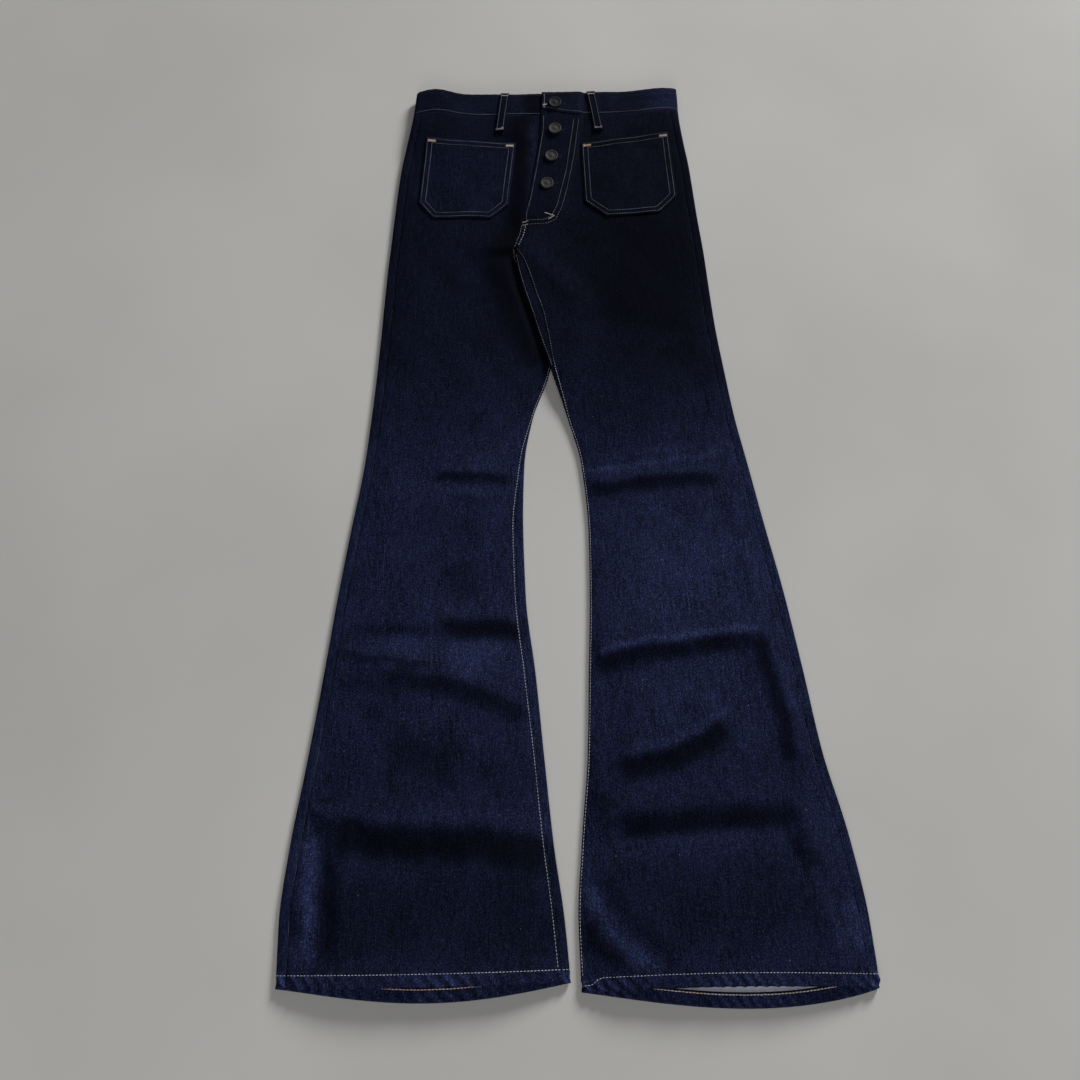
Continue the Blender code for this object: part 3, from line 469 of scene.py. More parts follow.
# %% Soft unevenness
Ripple = namedtuple("Ripple", "across along length phase")
RIPPLE_COUNT = 16
RIPPLE_STEEPNESS = 0.0026  # a ripple's height as a share of its length

rng = np.random.default_rng(11)
RIPPLES = [
    Ripple(rng.uniform(-1.0, 1.0), rng.uniform(0.35, 1.0), rng.uniform(26.0, 85.0), rng.uniform(0.0, 6.283))
    for i in range(RIPPLE_COUNT)
]


def ripples(x, y):
    """Soft unevenness of a panel that was never pressed, about half a millimetre high."""
    total = 0.0
    for wave in RIPPLES:
        run = (wave.across * x + wave.along * y) * 2.0 * math.pi / wave.length
        total = total + wave.length * np.sin(run + wave.phase)
    return total * RIPPLE_STEEPNESS


print("ripples:", len(RIPPLES))

# %% The form of the legs and the seat
DOME_FLATNESS = 2.6


def dome(share):
    """The shape of a soft crown across a width: 0 at both ends, 1 in the middle."""
    return 1.0 - np.abs(1.0 - 2.0 * np.clip(share, 0.0, 1.0)) ** DOME_FLATNESS


def thigh_carried(x, y):
    """1 where the right leg carries the left one, and 0 where the left leg is down on the floor."""
    return ramp((read("right_in", y) + THIGH_REST + THIGH_SLOPE - x) / THIGH_SLOPE)


def below_crotch(y):
    return ramp((CROTCH - y) / (CROTCH - THIGH_TOP))


def crotch_lift(side, x, y):
    """How far the top layer alone stands up round the crotch, where it comes off the crossed thighs."""
    rise = ramp((CROTCH + CROTCH_FADE - y) / (CROTCH + CROTCH_FADE - THIGH_TOP)) * (y >= THIGH_TOP)
    if side == "left":
        return THIGH_LIFT * (rise - below_crotch(y)) * thigh_carried(x, y) * (y >= THIGH_TOP)
    across = ramp((x - read("right_in", y) + THIGH_SLOPE) / THIGH_SLOPE)
    return THIGH_LIFT * rise * (1.0 - below_crotch(y)) * across


def ground(side, x, y):
    """The height of the cloth's underside: the left thigh lies on the right one, the waist on its loops."""
    lift = BACK_LOOP_LIFT * ramp((y - REST_START) / (REST_FULL - REST_START))
    if side == "left":
        along = below_crotch(y) * ramp((y - THIGH_FOOT + THIGH_FADE) / THIGH_FADE)
        lift = lift + THIGH_LIFT * along * thigh_carried(x, y)
    return lift


def corner(x):
    """1 near the waistband's two front corners, where it stands off its side folds, and 0 elsewhere."""
    return np.exp(-(((np.abs(x) - CORNER_X) / CORNER_WIDTH) ** 2))


def corner_puff(x, y):
    return CORNER_PUFF * corner(x) * ramp((y - WAIST + WAIST_NEAR) / PUFF_CLIMB)


def fly_raise(x, y, amount):
    """The step up of the left front where it lies over the right front and the button stand."""
    across = ramp((read("fly_end", y) + FLY_STEP - x) / FLY_STEP)
    return amount * across * ramp((y - FLY_FOOT) / FLY_CLIMB)


crossing = float(ground("left", np.array(-20.0), np.array(780.0)))
print("at the crossing the left thigh lies", round(crossing, 1), "mm off the floor")


# %% The height of the top layer
def top(side, x, level, y, raised=FLY_RAISE):
    """The height of the top layer's outer face."""
    radius, crown = read("radius", level), read("crown", level)
    out_x = read(side + "_out", level) - OUTWARD[side] * radius
    in_x = read(side + "_in", level) + OUTWARD[side] * radius
    right_out = read("right_out", level) + radius
    left_out = read("left_out", level) - radius
    leg = dome((x - out_x) / (in_x - out_x))
    seat = dome((x - right_out) / (left_out - right_out))
    height = crown * mix(leg, seat, ramp((level - CROTCH) / SEAT_BLEND))
    edge = np.abs(x - out_x)
    edge = np.where(level < CROTCH, np.minimum(edge, np.abs(x - in_x)), edge)
    height = height + (relief(CREASES[side], x, y) + ripples(x, y)) * ramp(edge / FOLD_EDGE)
    spare = 2.0 * radius + height - LEAST_ROOM
    height = height + 0.5 * (np.hypot(spare, ROOM_SOFTNESS) - spare)
    if side == "right":
        covered = ramp((x - read("left_in", y) + COVER_REACH) / COVER_FADE) * (y > THIGH_FOOT - THIGH_FADE)
        height = height * (1.0 - covered * below_crotch(y))
    else:
        height = height + fly_raise(x, y, raised)
    return ground(side, x, y) + 2.0 * radius + height + corner_puff(x, y) + crotch_lift(side, x, y)


shin = np.array([150.0, 400.0])
print("the left shin is", round(float(top("left", shin[0], shin[1], shin[1])), 1), "mm tall")


# %% Where a level lies along the garment
def hem_line(side, x, level, topness):
    """How far the hem's own curve carries a point down the leg."""
    hem = HEMS[side]
    out_x, in_x = read(side + "_out", level), read(side + "_in", level)
    share = np.clip((x - out_x) / (in_x - out_x), 0.0, 1.0)
    skewed = share ** (math.log(0.5) / math.log(hem.lowest))
    front, back = hem.front * np.sin(math.pi * share), hem.back * np.sin(math.pi * skewed)
    return -(1.0 - ramp(level / HEM_FADE)) * (mix(hem.at_out, hem.at_in, share) + mix(back, front, topness))


def waist_line(side, x, level, topness):
    """How far the waist's own curve carries a point up."""
    rise = np.where(x > 0.0, CORNER_RISE["left"], CORNER_RISE["right"])
    dip = WAIST_DIP * (x / WAIST_HALF) ** 2
    front = dip + rise * corner(x)
    back = BACK_RISE + dip
    shift = ramp((level - WAIST + WAIST_FADE) / WAIST_FADE) * mix(back, front, topness)
    if side == "left":
        below = ramp((level - WAIST + WAIST_NEAR) / WAIST_NEAR)
        above = ramp((WAIST_TOP - level) / (WAIST_TOP - WAIST))
        near_fly = ramp((read("front", WAIST) + BAND_TILT_WIDTH - x) / BAND_TILT_WIDTH)
        shift = shift + BAND_TILT * (below * above) * near_fly * topness
    return shift


def place(side, x, level, topness):
    return level + hem_line(side, x, level, topness) + waist_line(side, x, level, topness)


def pack(x, y, z):
    return np.stack(np.broadcast_arrays(x, y, z), axis=-1)


def on_top(side, x, level):
    y = place(side, x, level, 1.0)
    return pack(x, y, top(side, x, level, y))


def on_ground(side, x, level):
    y = place(side, x, level, 0.0)
    return pack(x, y, ground(side, x, y))


print("the middle of the left hem's back reaches", round(float(place("left", 150.0, 0.0, 0.0)), 1), "mm")


# %% Round the folded edges
def quarter_turn(level):
    return math.pi * read("radius", level) / 2.0


def round_fold(side, fold, level, along):
    """Points near a folded edge. along is measured round it from its outermost line, + on top."""
    radius, quarter = read("radius", level), quarter_turn(level)
    outward = OUTWARD[side] if fold == "out" else -OUTWARD[side]
    turn = np.clip(along, -quarter, quarter) / radius
    beyond = np.maximum(0.0, np.abs(along) - quarter)
    x = read(f"{side}_{fold}", level) - outward * (radius * (1.0 - np.cos(turn)) + beyond)
    topness = 0.5 + 0.5 * np.sin(turn)
    y = place(side, x, level, topness)
    extra = crotch_lift(side, x, y) if fold == "in" else corner_puff(x, y)
    side_z = ground(side, x, y) + topness * extra + radius * (1.0 + np.sin(turn))
    return pack(x, y, np.where(along > quarter, top(side, x, level, y), side_z))


def seam_round(side, level):
    """The inseam's place round the inner fold, + on top, from its distance in from that fold."""
    inside, radius = read(side + "_seam", level), read("radius", level)
    flat = quarter_turn(level) + inside - radius
    return np.where(inside >= radius, flat, radius * np.arccos(np.clip(1.0 - inside / radius, -1.0, 1.0)))


def front_line(side, level):
    """The front's inner edge above the crotch: the rise seam, then the fly."""
    line = read("front", level) + OUTWARD[side] * SEAM_GAP / 2.0
    if side == "right":
        line = line + FLY_OVERLAP * ramp((level - FLY_FOOT - OVERLAP_START) / OVERLAP_CLIMB)
    return line


def near_inner_line(side, level, inward, layer):
    """Points this far out from a panel's inner line: round the leg's fold, and flat above the crotch."""
    seam, step = seam_round(side, level), SEAM_GAP / 2.0 + inward
    tube = round_fold(side, "in", level, seam + step if layer == "front" else seam - step)
    if layer == "front":
        seat = on_top(side, front_line(side, level) + OUTWARD[side] * inward, level)
    else:
        seat = on_ground(side, read("back", level) + OUTWARD[side] * step, level)
    flat = ramp((level - CROTCH) / WEB)[..., None] * np.ones(seat.shape[:-1] + (1,))
    return tube * (1.0 - flat) + seat * flat


print("a quarter turn of the knee's fold is", round(float(quarter_turn(480.0)), 1), "mm long")

# %% [markdown]
# ## From a surface to cloth
# A Solidify modifier would give the surface a thickness, but it leaves the rims square, and denim folds
# round at every edge. So each panel is built as a grid of points for the face, the same grid moved in
# along its normals for the inside, and a few rows of points that roll round the rim between the two.

# %% Turn a grid of points into cloth
RIM_STEPS = 3
EVERY_ROW = 1000  # turns up more rows than any piece has, so its inside is face cloth too
INSIDE = 1  # the inside's place among a piece's materials, after the face at 0
pieces = {}


def normals_of(grid, facing):
    across, along = np.gradient(grid, axis=1), np.gradient(grid, axis=0)
    normal = np.cross(across, along)
    return facing * normal / np.linalg.norm(normal, axis=-1, keepdims=True)


def loop_of(rows, columns):
    """The grid's rim as one closed run of point numbers."""
    number = np.arange(rows * columns).reshape(rows, columns)
    return np.concatenate([number[0, :-1], number[:-1, -1], number[-1, :0:-1], number[:0:-1, 0]])


def add_mesh(name, points, faces, materials=()):
    mesh = bpy.data.meshes.new(name)
    mesh.from_pydata(world(points), [], faces)
    for material in materials:
        mesh.materials.append(material)
    mesh.shade_smooth()
    piece = bpy.data.objects.new(name, mesh)
    bpy.context.scene.collection.objects.link(piece)
    pieces[name] = piece
    return piece


def cloth(name, grid, facing, thickness=DENIM, roll=0.48, turned_up=0, painted_shading=0.0, grain="upright"):
    """A closed wall of cloth under a grid of points.

    roll is how far its rim bulges out, in mm, and turned_up is how many rows of its inside show the face.
    """
    rows, columns = grid.shape[:2]
    normal = normals_of(grid, facing)
    thick = np.broadcast_to(np.asarray(thickness, float), (rows, columns))[..., None]
    inner = grid - normal * thick
    count = rows * columns
    loop = loop_of(rows, columns)
    rim_face, rim_normal = grid.reshape(-1, 3)[loop], normal.reshape(-1, 3)[loop]
    rim_thick = thick.reshape(-1, 1)[loop]
    run = np.roll(rim_face, -1, axis=0) - np.roll(rim_face, 1, axis=0)
    outward = facing * np.cross(run, rim_normal)
    outward /= np.linalg.norm(outward, axis=-1, keepdims=True)
    rings = []
    for step in range(1, RIM_STEPS + 1):
        turn = math.pi * step / (RIM_STEPS + 1)
        bulge = outward * roll * math.sin(turn)
        rings.append(rim_face + rim_normal * rim_thick * (math.cos(turn) - 1.0) / 2.0 + bulge)
    points = np.concatenate([grid.reshape(-1, 3), inner.reshape(-1, 3)] + rings)

    number = np.arange(count).reshape(rows, columns)
    a, b, c, d = number[:-1, :-1], number[:-1, 1:], number[1:, 1:], number[1:, :-1]
    face = np.stack([a, b, c, d], axis=-1).reshape(-1, 4)
    chains = [loop] + [2 * count + i * len(loop) + np.arange(len(loop)) for i in range(RIM_STEPS)]
    chains.append(loop + count)
    rim = [np.stack([low, high, np.roll(high, -1), np.roll(low, -1)], axis=-1)
           for low, high in zip(chains, chains[1:])]
    rim = np.concatenate(rim)
    faces = np.concatenate([face, face[:, ::-1] + count, rim])
    if facing < 0:
        faces = faces[:, ::-1]
    piece = add_mesh(name, points, faces.tolist(), [GRAINS[grain], INSIDE_CLOTH])
    inside = np.zeros(len(faces), dtype=np.int32)
    inside[len(face) + turned_up * (columns - 1):2 * len(face)] = INSIDE
    piece.data.polygons.foreach_set("material_index", inside)
    # the painted shade and painted light of each point, which the dye reads
    tone = np.broadcast_to(np.asarray(painted_shading, float), (rows, columns)).ravel()
    values = np.concatenate([tone, tone] + [tone[loop]] * RIM_STEPS)
    piece.data.attributes.new("painted_shading", "FLOAT", "POINT").data.foreach_set("value", values)
    return piece


def report(*names):
    for name in names:
        size = np.array(pieces[name].dimensions) * 1000.0
        print(name, "has", len(pieces[name].data.polygons), "faces and is", size.round(1), "mm")


# how far the grain of each kind of piece is turned, in radians
GRAIN_TURN = {"upright": 0.0, "lengthwise": math.pi / 2.0, "right_leg": 0.03, "left_leg": -0.035}
GRAINS = {grain: bpy.data.materials.new(f"raw_indigo_denim_{grain}") for grain in GRAIN_TURN}
INSIDE_CLOTH = bpy.data.materials.new("denim_inside")
print("grains of the cloth:", list(GRAINS))

# %% [markdown]
# ## Rows and columns of the panels
# The rows stand close together in the hems, where the cloth ropes, and wider up the leg. Near a folded
# edge the columns follow the fold round.

# %% Space the rows
def spaced(*runs):
    """Rows of levels from runs of (start, end, step)."""
    rows = [np.arange(start, end - step / 2.0, step) for start, end, step in runs]
    return np.concatenate(rows + [[runs[-1][1]]])


FRONT_ROWS = spaced((0.0, 20.0, 1.6), (20.0, 580.0, 2.4), (580.0, CROTCH, 4.0), (CROTCH, WAIST, 3.2))
BACK_ROWS = spaced((0.0, 20.0, 2.0), (20.0, CROTCH, 5.0), (CROTCH, WAIST, 4.0))
print("rows of a front:", len(FRONT_ROWS), "and of a back:", len(BACK_ROWS))

# %% [markdown]
# ## The hems
# A hem sewn on a chainstitch machine ropes: the upper layer creeps ahead of the lower one, so the fold
# is full of small slanting puckers. They are waves across the hem that lean as they run down, uneven in
# length and depth, and gone 20 mm up the leg.

# %% Puckers of the hems and seams
ROPE_PITCH = {"right": 14.0, "left": 12.0}
ROPE_HEIGHT = {"right": 0.75, "left": 1.1}
# painted light on the hems: the back's turned-up hem, which lies in the front's shadow, is lifted, and the
# tops of the ropes get painted highlights
HEM_TONE = {"front": -0.32, "back": 0.05}
ROPE_HIGHLIGHT = {"front": 1.5, "back": 1.8}
TONE_START, TONE_FADE = 8.0, 18.0  # over this height the hem's own tone gives way to the leg's
ROPE_LEAN = 0.8
ROPE_DRIFTS = ((2.2, 31.0, 1.3), (1.4, 13.7, 0.0))  # height, length and start of the waves that shift them
ROPE_SECOND, ROPE_UNEVEN = 0.35, 0.38
ROPE_START, ROPE_FADE = 7.0, 12.0
HEM_VALLEY = 0.45
VALLEY_WIDTH = 1.8
TURNED_STEP = 1.5  # where a turned layer ends, its step is this wide
PUCKER, PUCKER_SINK, PUCKER_WIDTH, PUCKER_PITCH = 0.12, 0.1, 5.0, 9.0
SEAM_SINK, SEAM_WIDTH = 0.5, 1.6


def roping(side, x, level):
    """The height of the hem's ropes. Slow waves shift and weaken them, so that no two are alike."""
    drift = sum(height * np.sin(x / length + start) for height, length, start in ROPE_DRIFTS)
    phase = (x + ROPE_LEAN * level + drift) * 2.0 * math.pi / ROPE_PITCH[side]
    wave = np.sin(phase) + ROPE_SECOND * np.sin(2.0 * phase + 0.6)
    uneven = 1.0 - ROPE_UNEVEN + ROPE_UNEVEN * np.sin(x / 23.0 + 0.7)
    return ROPE_HEIGHT[side] * wave * uneven * (1.0 - ramp((level - ROPE_START) / ROPE_FADE))


def hem_painted_shading(side, layer, x, level):
    """The tone of the hem, with painted highlights on the tops of its ropes."""
    ropes = np.maximum(roping(side, x, level), 0.0) / ROPE_HEIGHT[side]
    plain = shade(side, x, place(side, x, level, float(layer == "front")))
    return mix(HEM_TONE[layer] + ROPE_HIGHLIGHT[layer] * ropes, plain, ramp((level - TONE_START) / TONE_FADE))


def hem_valley(level):
    """The stitch row pulls the hem in."""
    return -HEM_VALLEY * np.exp(-(((level - HEM_STITCH) / VALLEY_WIDTH) ** 2))


def seam_valley(distance, level):
    """A sewn edge rolls down into its seam, with small puckers beside it."""
    pucker = PUCKER * np.sin(level * 2.0 * math.pi / PUCKER_PITCH + 1.7 * np.sin(level / 41.0)) - PUCKER_SINK
    seam = SEAM_SINK * np.exp(-((distance / SEAM_WIDTH) ** 2))
    return pucker * np.exp(-((distance / PUCKER_WIDTH) ** 2)) - seam


def hem_thickness(rows):
    """Two layers up to the turned edge, and one above it."""
    return DENIM + (DOUBLED - DENIM) * (1.0 - ramp((rows - HEM_DEPTH) / TURNED_STEP))


print("the left hem ropes every", ROPE_PITCH["left"], "mm")

# %% [markdown]
# ## Fronts
# The front panels run from the outseam to the inseam or the fly. They carry everything that catches the
# light, so they get the finest grid.

# %% Cut the fronts
EDGE_IN = 0.35  # the rim's roll fills this much of each side of a seam
FRONT_FLAT = 104  # columns on the flat top
FRONT_ROUND = 5  # columns round the inner fold
SEAM_FADE = 10.0


def front_grid(side, rows):
    level = rows[:, None]
    quarter = quarter_turn(level)
    outseam = read(side + "_out", level) - OUTWARD[side] * (OUTSEAM_IN + SEAM_GAP / 2.0 + EDGE_IN)
    shoulder = near_inner_line(side, level, quarter, "front")[..., 0]
    x = mix(outseam, shoulder, np.linspace(0.0, 1.0, FRONT_FLAT + 1)[None, :])
    flat = on_top(side, x, level)
    inward = quarter * np.linspace(1.0, 0.0, FRONT_ROUND + 1)[None, 1:] + EDGE_IN
    round_part = near_inner_line(side, level, inward, "front")
    grid = np.concatenate([flat, round_part], axis=1)
    across = grid[..., 0]
    extra = roping(side, across, level) + hem_valley(level)
    extra = extra + seam_valley(np.abs(across - outseam), level)
    below = ramp((CROTCH - level) / SEAM_FADE)
    extra = extra + seam_valley(np.abs(across - across[:, -1:]), level) * below
    return grid + normals_of(grid, -OUTWARD[side]) * extra[..., None]


def rows_turned_up(rows):
    return int(np.count_nonzero(rows < HEM_DEPTH))


for side in SIDES:
    grid = front_grid(side, FRONT_ROWS)
    painted_shading = hem_painted_shading(side, "front", grid[..., 0], FRONT_ROWS[:, None])
    cloth(f"front_{side}", grid, -OUTWARD[side], hem_thickness(FRONT_ROWS)[:, None],
          turned_up=rows_turned_up(FRONT_ROWS), painted_shading=painted_shading, grain=f"{side}_leg")
report("front_left", "front_right")

# %% [markdown]
# ## Backs
# Each back panel starts at the outseam on top, goes over the fold, under the leg and up the inner fold
# to the inseam. The garment rests on it, so it stays flat there, but cloth that was folded for sale has
# creases behind the knees and across the seat too, which stand off the floor as low hollows.

# %% Table of hollows in the backs
HOLLOWS = {
    "right": [
        Crease([(-222, 540), (-140, 528), (-60, 522)], 9, 7, 1.2, 1.7),
        Crease([(-236, 352), (-150, 366), (-60, 352)], 8, 12, 1.1, 1.7),
        Crease([(-232, 262), (-160, 240), (-96, 250)], 10, 7, 0.9, 1.7),
        Crease([(-262, 150), (-170, 142), (-52, 150)], 12, 8, 1.3, 1.7),
        Crease([(-214, 96), (-206, 40)], 8, 8, 0.8, 1.7),
        Crease([(-188, 780), (-120, 806), (-60, 846)], 9, 12, 1.1, 1.7),
        Crease([(-176, 930), (-110, 900), (-56, 880)], 8, 10, 1.0, 1.7),
    ],
    "left": [
        Crease([(54, 552), (120, 540), (196, 548)], 7, 9, 1.2, 1.7),
        Crease([(42, 338), (130, 352), (226, 344)], 10, 8, 1.2, 1.7),
        Crease([(86, 236), (150, 214), (222, 226)], 8, 8, 0.8, 1.7),
        Crease([(34, 158), (140, 148), (250, 156)], 9, 12, 1.3, 1.7),
        Crease([(226, 110), (240, 44)], 8, 8, 0.9, 1.7),
        Crease([(30, 742), (90, 786), (168, 800)], 10, 8, 1.0, 1.7),
        Crease([(20, 890), (80, 912), (158, 950)], 8, 10, 1.0, 1.7),
    ],
}
print("hollows in the backs:", [len(rows) for rows in HOLLOWS.values()])

# %% Cut the backs
BACK_STRIP, BACK_TURN, BACK_FLAT = 5, 9, 96  # columns on the strip on top, round a fold, and on the floor
HOLLOW_FADE = 30.0
TURN_CROWDING = 1.3  # the columns crowd towards the inseam
ROPE_CLEAR, PUCKER_CLEAR = 0.6, 1.6  # heights between which the hem's ropes move from the inside to the face


def back_grid(side, rows):
    level = rows[:, None]
    quarter, radius = quarter_turn(level), read("radius", level)
    outseam = quarter + OUTSEAM_IN - radius - SEAM_GAP / 2.0 - EDGE_IN
    strip = mix(outseam, quarter, np.linspace(0.0, 1.0, BACK_STRIP + 1)[None, :-1])
    turn = mix(quarter, -quarter, np.linspace(0.0, 1.0, BACK_TURN + 1)[None, :])
    outer = round_fold(side, "out", level, np.concatenate([strip, turn], axis=1))
    seam = seam_round(side, level)
    span = seam + quarter - SEAM_GAP / 2.0
    shares = np.linspace(1.0, 0.0, BACK_TURN + 1)[None, :] ** TURN_CROWDING
    inner = near_inner_line(side, level, span * shares + EDGE_IN * (1.0 - shares), "back")
    x = mix(outer[:, -1:, 0], inner[:, :1, 0], np.linspace(0.0, 1.0, BACK_FLAT + 1)[None, 1:-1])
    y = place(side, x, level, 0.0)
    edge = np.minimum(np.abs(x - outer[:, -1:, 0]), np.abs(x - inner[:, :1, 0]))
    flat = pack(x, y, ground(side, x, y) + relief(HOLLOWS[side], x, y) * ramp(edge / HOLLOW_FADE))
    grid = np.concatenate([outer, flat, inner], axis=1)
    near = np.abs(grid[..., 0] - grid[:, :1, 0])
    on_strip = np.arange(grid.shape[1])[None, :] <= BACK_STRIP + 2
    extra = seam_valley(near, level) * on_strip + hem_valley(level)
    extra = extra + roping(side, grid[..., 0], level) * np.clip(grid[..., 2] - ROPE_CLEAR, 0.0, 1.0)
    return grid + normals_of(grid, OUTWARD[side]) * extra[..., None]


def back_thickness(side, grid, rows):
    """The hem's turned-up layer puckers on the inside, where the panel's face lies flat on the floor."""
    puckers = roping(side, grid[..., 0], rows[:, None]) * np.clip(PUCKER_CLEAR - grid[..., 2], 0.0, 1.0)
    return hem_thickness(rows)[:, None] + puckers


for side in SIDES:
    grid = back_grid(side, BACK_ROWS)
    painted_shading = hem_painted_shading(side, "back", grid[..., 0], BACK_ROWS[:, None])
    cloth(f"back_{side}", grid, OUTWARD[side], back_thickness(side, grid, BACK_ROWS),
          turned_up=rows_turned_up(BACK_ROWS), painted_shading=painted_shading, grain=f"{side}_leg")
report("back_left", "back_right")

# %% [markdown]
# ## Waistband
# One folded strip goes all round the waist. It starts under the fly on the right side, runs round the
# back, and ends on top at the fly's edge. It stands a little over the fronts, whose top edges it holds.

# %% Wrap the waistband
BAND_ROWS = 15
BAND_STEP = 3.0
BAND_TURN = 9
BAND_EDGE_DIP, DIP_WIDTH = 0.35, 0.05
DIPS_AT = (0.07, 0.9)  # shares of the band's height where its stitches pull it in
BAND_BACK = 340.0
BAND_PUCKER, BAND_PUCKER_PITCH, BAND_LEAN = 0.16, 11.0, 0.4


def band_line(side, start, end, level, raised):
    """Points of the band on top of one side, from x = start to x = end."""
    count = int(abs(float(np.mean(end)) - float(np.mean(start))) / BAND_STEP)
    x = mix(start, end, np.linspace(0.0, 1.0, count + 1)[None, :])
    y = place(side, x, level, 1.0)
    return pack(x, y, top(side, x, level, y, raised))


def band_grid():
    """The band from its hidden end on the right, round the back, to its end at the fly's edge."""
    level = np.linspace(WAIST + SEAM_GAP + EDGE_IN, WAIST_TOP - 1.0, BAND_ROWS)[:, None]
    quarter = quarter_turn(level)
    turn = np.linspace(1.0, -1.0, BAND_TURN + 1)[None, :] * quarter
    right_fold = round_fold("right", "out", level, turn)
    left_fold = round_fold("left", "out", level, turn[:, ::-1])
    right_top = band_line("right", BAND_UNDERLAP - EDGE_IN, right_fold[:, :1, 0], level, FLY_RAISE)
    left_end = read("front", level) + SEAM_GAP / 2.0 + 1.0
    left_top = band_line("left", left_fold[:, -1:, 0], left_end, level, BAND_RAISE)
    start, end = right_fold[:, -1:, 0], left_fold[:, :1, 0]
    x = mix(start, end, np.linspace(0.0, 1.0, int(BAND_BACK / BAND_STEP) + 1)[None, 1:-1])
    y = place("left", x, level, 0.0)
    back = pack(x, y, ground("right", x, y))
    grid = np.concatenate([right_top[:, :-1], right_fold, back, left_fold[:, :-1], left_top], axis=1)
    rise = (level - WAIST) / (WAIST_TOP - WAIST)
    run = np.arange(grid.shape[1])[None, :] * BAND_STEP
    valley = -BAND_EDGE_DIP * sum(np.exp(-(((rise - at) / DIP_WIDTH) ** 2)) for at in DIPS_AT)
    lean = (run + BAND_LEAN * level) * 2.0 * math.pi / BAND_PUCKER_PITCH
    pucker = BAND_PUCKER * np.sin(lean + 1.5 * np.sin(run / 37.0))
    on_top_layer = np.clip(grid[..., 2] - 5.0, 0.0, 1.0)
    extra = (valley + pucker * (1.0 - np.sin(math.pi * rise) ** 2)) * on_top_layer
    return grid + normals_of(grid, -1.0) * extra[..., None]


# painted shade of the band, for the dimmer light at the waist
BAND_PAINTED_SHADE = -0.62
BAND_LIGHT_END, BAND_LIGHT = 110.0, 0.38  # towards the left side fold the band is lighter
BAND_SHADOW_X, BAND_SHADOW_HALF, BAND_SHADOW = -22.0, 11.0, -0.28  # a painted shadow beside the fly, cast by the band's end

grid = band_grid()
lighter = ramp((grid[..., 0] - BAND_LIGHT_END) / 40.0)
darker = np.exp(-(((grid[..., 0] - BAND_SHADOW_X) / BAND_SHADOW_HALF) ** 4)) * (grid[..., 2] > 6.0)
cloth("waistband_strip", grid, -1.0, DOUBLED, roll=0.9, turned_up=EVERY_ROW, grain="lengthwise",
      painted_shading=BAND_PAINTED_SHADE + BAND_LIGHT * lighter + BAND_SHADOW * darker)
report("waistband_strip")

# %% [markdown]
# ## Button stand
# The buttons are tacked to a doubled strip sewn to the right front's edge. It lies under the left front
# and hardly shows, so a plain grid is enough.

# %% Sew on the button stand
STAND_EDGE = 0.4
STAND_CELLS = (45, 10)
TOP_PAINTED_SHADE = -0.6  # painted shade of plain pieces at the top of the garment, for the dimmer light there


def stand_grid():
    level = np.linspace(STAND_FOOT + STAND_EDGE, WAIST - STAND_EDGE, STAND_CELLS[0] + 1)[:, None]
    across = np.linspace(0.0, 1.0, STAND_CELLS[1] + 1)[None, :]
    x = front_line("right", level) + 2.0 * SEAM_GAP + (STAND_WIDTH - 1.0) * across
    return on_top("right", x, level)


cloth("fly_stand", stand_grid(), 1.0, DOUBLED, roll=0.6, turned_up=EVERY_ROW, painted_shading=TOP_PAINTED_SHADE)
report("fly_stand")

# %% [markdown]
# ## Laying things on the fronts
# Pockets, loops, buttons and stitches lie on the cloth below them. Their places are measured along the
# garment, so the level of a place is found first: its height without the curves of hem and waist. A few
# rounds of guessing and correcting are enough, because those curves are shallow.

# %% Find the cloth under a place
GUESSES = 8


def level_at(side, x, y, topness=1.0):
    """The level whose line passes through x, y."""
    level = np.asarray(y, float)
    for _ in range(GUESSES):
        level = level + (y - place(side, x, level, topness))
    return level


def cloth_height(side, x, y, raised=None):
    """The height of the fronts, or of the waistband above them, at a place."""
    level = level_at(side, x, y)
    banded = level > WAIST
    if raised is None:
        raised = np.where(banded, BAND_RAISE, FLY_RAISE) if side == "left" else FLY_RAISE
    return top(side, x, level, y, raised)


def laid(side, flat, lift):
    """Flat places (x, y) on the fronts of one side, lifted off the cloth."""
    x, y = flat[..., 0], flat[..., 1]
    return pack(x, y, cloth_height(side, x, y) + lift)


print("the cloth at the middle of the right pocket is",
      round(float(cloth_height("right", np.array(-110.0), np.array(960.0))), 1), "mm off the floor")

# %% [markdown]
# ## Patch pockets
# A patch pocket is a single layer with its edges turned under, so it stands a little higher round the
# edge than in the middle, and its mouth has a wider turned hem. Its outline has six corners. Rows run
# from the mouth to the foot, and each row goes straight from the outer to the inner side.

# %% Outline and lay the pockets
Pocket = namedtuple("Pocket", "mouth chamfer foot")
POCKETS = {
    "right": Pocket(((-161.8, 1032.0), (-43.8, 1017.6)), ((-170.7, 930.5), (-55.3, 923.0)),
                    ((-152.6, 905.9), (-78.5, 903.3))),
    "left": Pocket(((157.2, 1033.4), (41.1, 1016.8)), ((161.9, 933.6), (42.4, 925.0)),
                   ((138.2, 907.7), (70.0, 901.7))),
}
POCKET_CELLS = 48
POCKET_ROWS = (42, 12)  # from the mouth to the chamfers, and from there to the foot
POCKET_OUTER_ROW, POCKET_INNER_ROW = 2.6, 8.6
TURNED_EDGE = 7.5
TURNED_MOUTH = 15.0
TURNED_RAISE = 0.45
ROW_DIP, ROW_DIP_WIDTH = 0.28, 0.9  # the stitch rows pull the pocket in
RIM_DIP, RIM_WIDTH = 0.45, 1.2
BELLY, BELLY_START, BELLY_RUN = 0.8, 10.0, 30.0
# painted shade of the pockets, for the dimmer light at the top, deeper on the left as on the front round it
POCKET_SHADE = {"right": -0.55, "left": -0.78}


